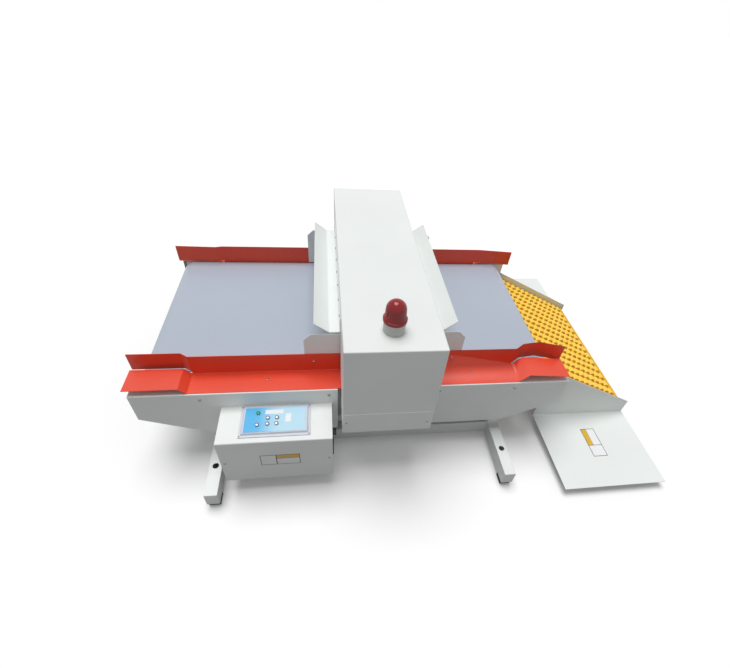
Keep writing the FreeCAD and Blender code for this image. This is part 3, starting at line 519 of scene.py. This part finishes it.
# %% The tree for a row of wheels
row_group, row_in, row_out = new_tree("wheel_row", {
    "Wheels": "Int", "Pitch": "Float", "Wheel Radius": "Float", "Tread": "Float",
    "Web": "Float", "Hub Radius": "Float", "Bore Radius": "Float",
    "Corner": "Float", "Row Width": "Float", "Centre": "Vector",
    "Finish": "Material"})
value = row_in.outputs
depth = add(row_group, "ShaderNodeMath",
            {0: value["Hub Radius"], 1: value["Wheel Radius"]}, operation="SUBTRACT")
corners = []
for reach, half, sign in ((depth.outputs[0], "Web", -0.5), (None, "Tread", -0.5),
                          (None, "Tread", 0.5), (depth.outputs[0], "Web", 0.5)):
    across = add(row_group, "ShaderNodeMath", {0: value[half], 1: sign},
                 operation="MULTIPLY")
    corners.append(add(row_group, "ShaderNodeCombineXYZ",
                       {"X": reach or 0.0, "Y": across.outputs[0]}).outputs[0])
section = add(row_group, "GeometryNodeCurvePrimitiveQuadrilateral",
              {f"Point {i + 1}": corner for i, corner in enumerate(corners)},
              mode="POINTS")
section = add(row_group, "GeometryNodeFilletCurve",
              {"Curve": section.outputs[0], "Radius": value["Corner"], "Count": 1},
              mode="POLY")
SIDES = 16
circle = add(row_group, "GeometryNodeCurvePrimitiveCircle",
             {"Resolution": SIDES, "Radius": value["Wheel Radius"]})
wheel = add(row_group, "GeometryNodeCurveToMesh",
            {"Curve": circle.outputs[0], "Profile Curve": section.outputs[0]})
gaps = add(row_group, "ShaderNodeMath", {0: value["Wheels"], 1: -1.0}, operation="ADD")
half_run = add(row_group, "ShaderNodeMath", {0: gaps.outputs[0], 1: value["Pitch"]},
               operation="MULTIPLY")
start = add(row_group, "ShaderNodeMath", {0: half_run.outputs[0], 1: -0.5},
            operation="MULTIPLY")
line = add(row_group, "GeometryNodeMeshLine",
           {"Count": value["Wheels"],
            "Start Location": add(row_group, "ShaderNodeCombineXYZ",
                                  {"Z": start.outputs[0]}).outputs[0],
            "Offset": add(row_group, "ShaderNodeCombineXYZ",
                          {"Z": value["Pitch"]}).outputs[0]})
wheels = add(row_group, "GeometryNodeInstanceOnPoints",
             {"Points": line.outputs[0], "Instance": wheel.outputs[0]})
wall = add(row_group, "ShaderNodeMath",
           {0: value["Hub Radius"], 1: value["Bore Radius"]}, operation="SUBTRACT")
middle = add(row_group, "ShaderNodeMath",
             {0: value["Hub Radius"], 1: value["Bore Radius"]}, operation="ADD")
middle = add(row_group, "ShaderNodeMath", {0: middle.outputs[0], 1: 0.5},
             operation="MULTIPLY")
hub = add(row_group, "GeometryNodeCurveToMesh", {
    "Curve": add(row_group, "GeometryNodeCurvePrimitiveCircle",
                 {"Resolution": SIDES, "Radius": middle.outputs[0]}).outputs[0],
    "Profile Curve": add(row_group, "GeometryNodeCurvePrimitiveQuadrilateral",
                         {"Width": wall.outputs[0],
                          "Height": value["Row Width"]}).outputs[0]})
both = add(row_group, "GeometryNodeJoinGeometry", {"Geometry": wheels.outputs[0]})
row_group.links.new(hub.outputs[0], both.inputs["Geometry"])
placed = add(row_group, "GeometryNodeTransform",
             {"Geometry": both.outputs[0], "Translation": value["Centre"],
              "Rotation": (math.radians(-90), 0.0, 0.0)})
close_tree(row_group, row_in, row_out, placed.outputs[0])
print("wheel row tree has", len(row_group.nodes), "nodes")

# %% Grow the rows, one for each body
ROWS = sorted(name for name in box if name.startswith("wheel_row"))
WHEELS_PER_ROW = 15
WHEEL_PITCH = 41 * MM
WHEEL = {"Tread": 28 * MM, "Web": 20 * MM, "Hub Radius": 5.5 * MM,
         "Bore Radius": 4.2 * MM, "Corner": 1.6 * MM}
for name in ROWS:
    low, high = box[name]
    radius = (high.z - low.z) / 2
    row = grown(f"{name}_wheels", row_group, {
        **WHEEL, "Wheels": WHEELS_PER_ROW, "Pitch": WHEEL_PITCH,
        "Wheel Radius": radius, "Row Width": high.y - low.y,
        "Centre": (low + high) / 2, "Finish": finish["yellow_wheel"]})
    row.data.shade_smooth()
    row.data.set_sharp_from_angle(angle=math.radians(50))
    dress(row, None, body_of[name])
    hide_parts(name)
print(name, len(row.data.polygons), "faces,", WHEELS_PER_ROW, "wheels of radius",
      round(radius / MM, 1), "mm")

# %% [markdown]
# ## The bed between the wheels
# Yellow rails run down the slope between the columns of wheels, just under the
# hub tubes, and a strip closes the bed at each end. A rail is one long box, set
# on a line of points across the chute, so it is one more small tree.

# %% The tree for the bed's rails
rail_group, rail_in, rail_out = new_tree("bed_rails", {
    "Rails": "Int", "Pitch": "Float", "Size": "Vector", "Finish": "Material"})
value = rail_in.outputs
line = add(rail_group, "GeometryNodeMeshLine",
           {"Count": value["Rails"],
            "Offset": add(rail_group, "ShaderNodeCombineXYZ",
                          {"Y": value["Pitch"]}).outputs[0]})
bar = add(rail_group, "GeometryNodeMeshCube", {"Size": value["Size"]})
bars = add(rail_group, "GeometryNodeInstanceOnPoints",
           {"Points": line.outputs[0], "Instance": bar.outputs[0]})
close_tree(rail_group, rail_in, rail_out, bars.outputs[0])
print("rail tree has", len(rail_group.nodes), "nodes")

# %% Lay the rails and the end strips on the slope
first, last = (sum(box[name], Vector()) / 2 for name in (ROWS[0], ROWS[-1]))
downhill = (last - first).normalized()
slope = math.atan2(-downhill.z, downhill.x)
lean_back = Matrix.Rotation(slope, 4, "Y")
upward = lean_back @ Vector((0, 0, 1))
run = (last - first).length
RAIL = Vector((run + 26 * MM, 11 * MM, 2 * MM))
RAIL_SINK = 7.2 * MM          # a rail's middle, below the axles
STRIP_GAUGE, STRIP_HEIGHT = 2.4 * MM, 18 * MM
STRIP_RISE = 5.4 * MM         # a strip's middle, above the axles
rails = grown("bed_rails", rail_group, {
    "Rails": WHEELS_PER_ROW - 1, "Pitch": WHEEL_PITCH, "Size": RAIL,
    "Finish": finish["tray_coat"]})
start = (first + last) / 2 - upward * RAIL_SINK
start.y -= WHEEL_PITCH * (WHEELS_PER_ROW - 2) / 2
rails.data.transform(Matrix.Translation(start) @ lean_back)
dress(rails, None, "machine")
half = box["chute_tray"][1].y - 2.2 * MM
for name, middle in (("bed_strip_upper", first - downhill * 16.5 * MM),
                     ("bed_strip_lower", last + downhill * 18.8 * MM)):
    strip = grown(name, rail_group, {
        "Rails": 1, "Pitch": 0.0, "Size": Vector((STRIP_GAUGE, 2 * half, STRIP_HEIGHT)),
        "Finish": finish["yellow_wheel"]})
    strip.data.transform(Matrix.Translation(middle + upward * STRIP_RISE) @ lean_back)
    dress(strip, None, "machine")
print("slope", round(math.degrees(slope), 1), "degrees,", len(rails.data.polygons),
      "rail faces")

# %% [markdown]
# ## Screws
# The sheets are held by zinc-plated pan-head screws with a cross recess. One
# head is modelled once, with the recess sunk into it. A cloud of points says
# where each screw sits, how large it is and which way it faces, and Geometry
# Nodes set the head on every point, turned to face that way.

# %% One pan head with a cross recess
def skin(name, rings, closed=False):
    """A mesh over rings of points, joined one to the next. A ring may be a single
    point, which closes the end."""
    mesh = bmesh.new()
    made = [[mesh.verts.new(point) for point in ring] for ring in rings]
    pairs = list(zip(made, made[1:])) + ([(made[-1], made[0])] if closed else [])
    for one, two in pairs:
        count = max(len(one), len(two))
        if count == 1:                        # the axis itself
            continue
        for i in range(count):
            j = (i + 1) % count
            corners = [one[i % len(one)], one[j % len(one)],
                       two[j % len(two)], two[i % len(two)]]
            mesh.faces.new(list(dict.fromkeys(corners)))
    if not closed:
        for ring, end in ((made[0], -1), (made[-1], 1)):
            if len(ring) > 2:
                mesh.faces.new(ring[::end])
    bmesh.ops.recalc_face_normals(mesh, faces=mesh.faces)
    data = bpy.data.meshes.new(name)
    mesh.to_mesh(data)
    mesh.free()
    return data


def round_ring(radius, height, sides, phase=0.0):
    """A level ring of points."""
    return [(radius * math.cos(phase + math.tau * i / sides),
             radius * math.sin(phase + math.tau * i / sides), height)
            for i in range(sides)]


def cross_ring(arm, half, height):
    """The outline of a cross: three points in each quarter turn."""
    quarter = [(arm, half), (half, half), (half, arm)]
    ring = []
    for c, s in ((1, 0), (0, 1), (-1, 0), (0, -1)):
        ring += [(x * c - y * s, x * s + y * c, height) for x, y in quarter]
    return ring


CROSS_SIDES = 12
turn = math.radians(15)
head_mesh = skin("screw_head", [
    round_ring(1.0, 0.0, CROSS_SIDES, turn), round_ring(1.0, 0.22, CROSS_SIDES, turn),
    round_ring(0.86, 0.46, CROSS_SIDES, turn), round_ring(0.60, 0.58, CROSS_SIDES, turn),
    cross_ring(0.46, 0.12, 0.60), cross_ring(0.40, 0.10, 0.22)])
head_mesh.shade_smooth()
head_mesh.set_sharp_from_angle(angle=math.radians(40))
screw_head = bpy.data.objects.new("screw_head", head_mesh)
bpy.context.scene.collection.objects.link(screw_head)
print("screw head", len(head_mesh.polygons), "faces")

# %% The tree that sets screws
screw_group, screw_in, screw_out = new_tree("set_screws", {
    "Geometry": "Geometry", "Head": "Object", "Finish": "Material"})
head = add(screw_group, "GeometryNodeObjectInfo", {"Object": screw_in.outputs["Head"]})
facing = add(screw_group, "GeometryNodeInputNamedAttribute", {"Name": "facing"},
             data_type="FLOAT_VECTOR")
size = add(screw_group, "GeometryNodeInputNamedAttribute", {"Name": "size"},
           data_type="FLOAT")
turned = add(screw_group, "FunctionNodeAlignRotationToVector",
             {"Vector": facing.outputs["Attribute"]}, axis="Z")
set_heads = add(screw_group, "GeometryNodeInstanceOnPoints",
                {"Points": screw_in.outputs["Geometry"],
                 "Instance": head.outputs["Geometry"],
                 "Rotation": turned.outputs["Rotation"],
                 "Scale": size.outputs["Attribute"]})
close_tree(screw_group, screw_in, screw_out, set_heads.outputs[0])
print("screw tree has", len(screw_group.nodes), "nodes")

# %% Where the screws sit
FRONT, BACK = Vector((0, -1, 0)), Vector((0, 1, 0))
screws = []                                   # place, facing, radius of the head


def screw(x, y, z, facing, radius):
    screws.append((Vector((x, y, z)), Vector(facing), radius * MM))


# heads' radii in millimetres: M5 on the covers, M4 elsewhere, M2.5 on the bezel
M5, M4, M4_HOOD, M4_PANEL, M2_5 = 4.8, 4.32, 4.08, 3.84, 2.16
SHEET = 2 * MM
belt_top = box["belt"][1].z
SCREW_ROWS = {
    # along the machine: the two in a cover, the one in a rail's wall, and the
    # one in its flange
    "infeed": ((-678.5, -300.5), -344.5, -484.5),
    "outfeed": ((52.5, 306.5), 97.5, 163.5),
}
for end, (in_cover, in_wall, in_flange) in SCREW_ROWS.items():
    for side, face in (("front", FRONT), ("back", BACK)):
        low, high = box[f"cover_{end}_{side}"]
        y = low.y if face is FRONT else high.y
        for x in in_cover:
            screw(x * MM, y, high.z - 24 * MM, face, M5)
        wall = box[f"wing_{side}"][0 if face is FRONT else 1].y + face.y * SHEET
        screw(in_wall * MM, wall, belt_top + 36 * MM, face, M4)
        flange_top = box[f"guide_{end}_{side}"][0].z + SHEET
        screw(in_flange * MM, face.y * 342 * MM, flange_top, (0, 0, 1), M4)
HOOD_SCREWS, HOOD_FIRST, HOOD_PITCH = 8, -265, 75.7
for hood, side in (("hood_infeed", -1), ("hood_outfeed", 1)):
    low, high = box[hood]
    wall = high.x - SHEET if side < 0 else low.x + SHEET
    for step in range(HOOD_SCREWS):
        screw(wall, (HOOD_FIRST + HOOD_PITCH * step) * MM, belt_top + 185 * MM,
              (side, 0, 0), M4_HOOD)
low, high = box["control_box"]
for x in (low.x + 12 * MM, high.x - 10 * MM):
    screw(x, low.y, low.z + 99 * MM, FRONT, M4)
low, high = box["head_panel"]
screw(low.x + 7 * MM, low.y, high.z - 38 * MM, FRONT, M4_PANEL)
screw(high.x - 13 * MM, low.y, high.z - 48 * MM, FRONT, M4_PANEL)
low, high = box["panel_bezel"]
EDGE = 4 * MM
for x in (low.x + EDGE, high.x - EDGE):
    for y in (low.y + EDGE, high.y - EDGE):
        screw(x, y, low.z + 3 * MM, (0, 0, 1), M2_5)
print(len(screws), "places for screws")

# %% Set them
cloud = bpy.data.meshes.new("screw_places")
cloud.from_pydata([place for place, _, _ in screws], [], [])
cloud.attributes.new("facing", "FLOAT_VECTOR", "POINT").data.foreach_set(
    "vector", [v for _, face, _ in screws for v in face])
cloud.attributes.new("size", "FLOAT", "POINT").data.foreach_set(
    "value", [radius for _, _, radius in screws])
fixings = grown("fixing_screws", screw_group,
                {"Head": screw_head, "Finish": finish["zinc_plate"]}, cloud)
bpy.data.objects.remove(screw_head)
dress(fixings, None, "machine")
print(len(screws), "screws,", len(fixings.data.polygons), "faces")

# %% [markdown]
# ## The beacon
# A red lens with a wide foot stands on a grey base, and inside it a reflector
# drum and a lamp show through. All are turned shapes, so each is a profile swept
# round an axis. The lens has upright flutes moulded on its inner wall, which
# break up the light: they are a ripple in the inner radius.

# %% Turn a profile round an axis
def turned_piece(name, profile, sides, centre, material, closed=True,
                 ripple=None, axis="Z", body="machine"):
    """A piece swept round an axis from (radius, height) points in millimetres.
    A ripple gives each point of the profile and angle its own radius."""
    rings = []
    for index, (radius, height) in enumerate(profile):
        if radius == 0:
            rings.append([(0, 0, height * MM)])
            continue
        ring = []
        for i in range(sides):
            angle = math.tau * i / sides
            reach = (radius + (ripple(index, angle) if ripple else 0)) * MM
            ring.append((reach * math.cos(angle), reach * math.sin(angle), height * MM))
        rings.append(ring)
    mesh = skin(name, rings, closed)
    spin = Matrix.Rotation(math.radians(90), 4, "Y") if axis == "X" else Matrix()
    mesh.transform(Matrix.Translation(centre) @ spin)
    mesh.shade_smooth()
    mesh.set_sharp_from_angle(angle=math.radians(35))
    piece = bpy.data.objects.new(name, mesh)
    bpy.context.scene.collection.objects.link(piece)
    dress(piece, material, body)
    return piece


def arc(radius, start, stop, steps, centre=(0, 0)):
    """Points along an arc, in degrees."""
    turns = [math.radians(start + (stop - start) * i / steps)
             for i in range(steps + 1)]
    return [(centre[0] + radius * math.cos(turn), centre[1] + radius * math.sin(turn))
            for turn in turns]


print("a quarter turn in three steps:",
      [(round(x, 2), round(y, 2)) for x, y in arc(1, 0, 90, 3)])


# %% Lens, base, reflector drum and lamp
low, high = box["beacon_base"]
foot = Vector(((low.x + high.x) / 2, (low.y + high.y) / 2, low.z))
lens_low, lens_high = box["beacon_lens"]
rim_z = (lens_low.z - low.z) / MM
top_z = (lens_high.z - low.z) / MM
outer = [(33.0, rim_z + 0.6), *arc(1.4, 0, 90, 3, (31.6, rim_z + 7.6)),
         (29.8, rim_z + 9.0), (29.2, rim_z + 9.8), (28.2, top_z - 29),
         *arc(27.9, 12, 78, 9, (0, top_z - 27.9)), (0, top_z)]
inner = [(0, top_z - 2.4), *arc(25.3, 78, 12, 9, (0, top_z - 27.9)),
         (25.9, top_z - 29), (26.4, rim_z + 8), (26.4, rim_z)]
profile = [(32.4, rim_z), *outer, *inner]
FLUTES = 24


def flutes(index, angle):
    """A ripple on the straight part of the lens's inner wall."""
    return 0.45 * math.cos(FLUTES * angle) if index > len(outer) + 4 else 0.0


lens = turned_piece("beacon_lens_fluted", profile, 96, foot, finish["red_lens"],
                    ripple=flutes)
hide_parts("beacon_lens")
base = turned_piece("beacon_base_turned", [
    (0, 0), (28.5, 0), (28.5, 1.6), (30, 2.6), (30, rim_z - 0.6), (29.4, rim_z),
    (25.0, rim_z), (25.0, rim_z + 4.6), (0, rim_z + 4.6)], 64, foot,
    finish["beacon_grey"], closed=False)
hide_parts("beacon_base")
turned_piece("beacon_reflector", [
    (0, rim_z + 4.6), (19, rim_z + 4.6), (19, 50), (17.5, 51.5), (10, 51.5), (9, 50),
    (0, 50)], 48, foot, finish["bright_steel"], closed=False)
turned_piece("beacon_lamp", [
    (0, 51), (7, 51), (7, 56), (9, 60), *arc(9, 0, 80, 6, (0, 63)), (0, 72)], 32, foot,
    finish["label_white"], closed=False)
print("lens", len(lens.data.polygons), "faces")

# %% [markdown]
# ## Keys and knob
# The keys are satin-chromed domes on thin stems, the power key is green plastic,
# and the knob at the box's side has a ribbed grip. Each is a turned profile
# again, and the ribs are a ripple of its radius.

# %% Keys
for name in ["power_key"] + [f"key_{i}" for i in range(1, 6)]:
    low, high = box[name]
    tall = (high.z - low.z) / MM
    centre = Vector(((low.x + high.x) / 2, (low.y + high.y) / 2, low.z))
    under = tall - 4
    key = turned_piece(f"{name}_domed", [
        (0, 0), (3, 0), (3, under), (5.7, under), (6, under + 0.3), (6, under + 1.6),
        (5.7, under + 2.2), (4.9, under + 2.9), (3.4, under + 3.6), (1.7, under + 3.93),
        (0, tall)], 32, centre, finish[slot_of[name]], closed=False,
        body=body_of[name])
    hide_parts(name)
print("keys stand", round((high.z - box["panel_face"][1].z) / MM, 1), "mm proud")

# %% Knob
low, high = box["knob"]
centre = Vector((low.x, (low.y + high.y) / 2, (low.z + high.z) / 2))
length = (high.x - low.x) / MM
RIBS = 18


def knurl(index, angle):
    """Ribs round the grip of the knob."""
    return 0.35 * math.cos(RIBS * angle) - 0.35 if 4 <= index <= 7 else 0.0


knob = turned_piece("knob_knurled", [
    (0, 0), (3, 0), (3, 4.3), (11.2, 4.3), (12, 5.2), (12, 6.5), (11.2, 13.5),
    (10.8, length - 1.2), (9.8, length), (0, length)], 144, centre,
    finish["black_plastic"], closed=False, ripple=knurl,
    axis="X", body="knob")
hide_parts("knob")
print("knob stands", round(length, 1), "mm out of the box, with", RIBS, "ribs")

# %% [markdown]
# ## Plates and windows
# Two blank plates and two white windows are stuck on the machine. A plate is a
# thin sheet of vinyl, printed in fields: a dark edge, a white field and an amber
# band, with no lettering. Its face is cut into a grid, and each cell of the grid
# takes the colour of its field, so the print has crisp edges and no overlap.

# %% A printed plate from a grid of fields
def plate(name, corner, across, up, columns, rows, fields, materials):
    """A thin plate. Columns and rows are its breaks in millimetres from a
    corner, and fields gives a material's number for each cell, row by row."""
    across, up = Vector(across), Vector(up)
    proud = across.cross(up) * 0.25 * MM
    mesh = bmesh.new()
    grid = [[mesh.verts.new(Vector(corner) + across * x * MM + up * y * MM + proud)
             for x in columns] for y in rows]
    for r in range(len(rows) - 1):
        for c in range(len(columns) - 1):
            face = mesh.faces.new([grid[r][c], grid[r][c + 1],
                                   grid[r + 1][c + 1], grid[r + 1][c]])
            face.material_index = fields[r][c]
    edge = [e for e in mesh.edges if e.is_boundary]
    skirt = bmesh.ops.extrude_edge_only(mesh, edges=edge)["geom"]
    low = [v for v in skirt if isinstance(v, bmesh.types.BMVert)]
    bmesh.ops.translate(mesh, verts=low, vec=-proud)
    under = [e for e in mesh.edges if e.is_boundary]
    bmesh.ops.holes_fill(mesh, edges=under, sides=0)
    bmesh.ops.recalc_face_normals(mesh, faces=mesh.faces)
    data = bpy.data.meshes.new(name)
    mesh.to_mesh(data)
    mesh.free()
    piece = bpy.data.objects.new(name, data)
    bpy.context.scene.collection.objects.link(piece)
    for material in materials:
        data.materials.append(material)
    dress(piece, None, "machine")
    return piece


# %% Two blank plates
VINYL = [finish["label_dark"], finish["label_white"], finish["label_amber"]]
low, high = box["control_box"]
plate("box_plate", (-508 * MM, low.y, high.z - 122 * MM), (1, 0, 0), (0, 0, 1),
      [0, 2, 45.5, 48.5, 115, 117], [0, 2, 32, 34, 50.5, 52.5],
      [[0, 0, 0, 0, 0], [0, 1, 0, 1, 0], [0, 1, 0, 0, 0], [0, 1, 0, 2, 0],
       [0, 0, 0, 0, 0]], VINYL)
low, high = box["chute_side_front"]
plate("apron_plate", (661.5 * MM, -507 * MM, low.z + 2 * MM), (1, 0, 0), (0, 1, 0),
      [0, 2, 21, 22, 53, 55], [0, 2, 46, 48, 118, 120],
      [[0, 0, 0, 0, 0], [0, 1, 1, 1, 0], [0, 0, 0, 0, 0], [0, 2, 0, 1, 0],
       [0, 0, 0, 0, 0]], VINYL)
print("plates of 117 by 52.5 mm and 55 by 120 mm, in", len(VINYL), "vinyls")

# %% Two white windows on the film
low, high = box["panel_face"]
for name, left, right, near, far in (("window_wide", -490, -437.5, -433, -418),
                                     ("window_tall", -430.5, -414.3, -464, -433)):
    plate(name, (left * MM, near * MM, high.z), (1, 0, 0), (0, 1, 0),
          [0, right - left], [0, far - near], [[0]], [finish["label_white"]])
    print(name, round(right - left, 1), "by", round(far - near, 1), "mm")

# %% [markdown]
# ## The camera
# The camera stands in front of the machine, 1.3 m up, and looks down on it
# through a short lens. Its frame is given by two directions, to the right and up,
# and the third is square to both.

# %% Camera
camera = bpy.data.objects.new("camera", bpy.data.cameras.new("camera"))
bpy.context.scene.collection.objects.link(camera)
bpy.context.scene.camera = camera
RIGHT = Vector((0.98841, -0.12328, 0.08905))
UP = Vector((0.02153, 0.69578, 0.71737))
turn = Matrix((RIGHT, UP, RIGHT.cross(UP))).transposed().to_4x4()
EYE = Vector((-0.2992, -1.2278, 1.3240))
camera.matrix_world = Matrix.Translation(EYE) @ turn
camera.data.sensor_width = 36
camera.data.lens = 20.66
camera.data.shift_x = -0.037
camera.data.shift_y = 0.018
print("camera stands", round((EYE - box["head_shell"][1]).length, 2),
      "m from the head's far corner")

# %% [markdown]
# ## Light
# A level surface out in the open gets a light of one in all, so that its colour
# comes out about as written: two thirds from a wide, soft sun that stands nearly
# overhead, and one third from an even white sky. Fronts see half of that sky and
# none of the sun, so they are darker. Mirrors and the camera see a sky of full
# white, which keeps metals bright and the background clean.

# %% World and lamps
scene = bpy.context.scene
scene.view_settings.view_transform = "Standard"
world = bpy.data.worlds.new("studio")
scene.world = world
world.use_nodes = True
tree = world.node_tree
path = add(tree, "ShaderNodeLightPath")
seen = add(tree, "ShaderNodeMath",
           {0: path.outputs["Is Camera Ray"], 1: path.outputs["Is Glossy Ray"]},
           operation="MAXIMUM")
seen = add(tree, "ShaderNodeMath", {0: seen.outputs[0],
                                    1: path.outputs["Is Transmission Ray"]},
           operation="MAXIMUM")
SKY = 0.34
level = add(tree, "ShaderNodeMapRange", {"Value": seen.outputs[0],
                                         "To Min": SKY, "To Max": 1.0})
tree.links.new(level.outputs["Result"], tree.nodes["Background"].inputs["Strength"])
tree.nodes["Background"].inputs["Color"].default_value = (1, 1, 1, 1)

lamp = bpy.data.objects.new("high_window", bpy.data.lights.new("high_window", "SUN"))
scene.collection.objects.link(lamp)
lamp.data.energy = 2.07
lamp.data.angle = math.radians(38)
lamp.rotation_euler = Vector((-0.10, 0.16, 1)).to_track_quat("Z", "Y").to_euler()
print("sun gives", round(lamp.data.energy / math.pi, 2), "and the sky", SKY)

# %% [markdown]
# ## The floor
# The floor is a wide sheet of white paper. The camera sees it nearly white and a
# little lifted, so that only the machine's shadow shows on it. To light that
# bounces off it the paper is darker, or the undersides would glow.

# %% Floor
bpy.ops.mesh.primitive_plane_add(size=30, location=(0, 0, 0))
floor = bpy.context.object
floor.name = "studio_floor"
floor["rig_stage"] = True
paper = bpy.data.materials.new("studio_paper")
paper.use_nodes = True
tree = paper.node_tree
shader = tree.nodes["Principled BSDF"]
path = add(tree, "ShaderNodeLightPath")
seen = add(tree, "ShaderNodeMath",
           {0: path.outputs["Is Camera Ray"], 1: path.outputs["Is Glossy Ray"]},
           operation="MAXIMUM")
PAPER_LIT, PAPER_SEEN, PAPER_LIFT = 0.24, 0.95, 0.09
shade = add(tree, "ShaderNodeMix", {0: seen.outputs[0], 6: (*[PAPER_LIT] * 3, 1),
                                    7: (*[PAPER_SEEN] * 3, 1)}, data_type="RGBA")
tree.links.new(shade.outputs[2], shader.inputs["Base Color"])
shader.inputs["Roughness"].default_value = 0.9
shader.inputs["Specular IOR Level"].default_value = 0.0
lift = add(tree, "ShaderNodeMath", {0: path.outputs["Is Camera Ray"], 1: PAPER_LIFT},
           operation="MULTIPLY")
shader.inputs["Emission Color"].default_value = (1, 1, 1, 1)
tree.links.new(lift.outputs[0], shader.inputs["Emission Strength"])
floor.data.materials.append(paper)
print("floor", tuple(round(side) for side in floor.dimensions), "m")

# %% [markdown]
# ## What stays as it was
# Any part that no piece stands for is shown as the engineering model has it, and
# it gets the finish that the record names. Then the whole is measured once more,
# because the dressed machine must not be larger than the engineering model.

# %% Parts that stay as they are
bare = [name for name, thing in frame["nodes"].items() if not thing.hide_render]
for name in bare:
    frame["nodes"][name].data.materials.clear()
    frame["nodes"][name].data.materials.append(finish[slot_of[name]])
print(len(bare), "parts stay as they are:", bare)

# %% Measure and finish
low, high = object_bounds()
print("dressed box", [round(v, 4) for v in (*low, *high)])
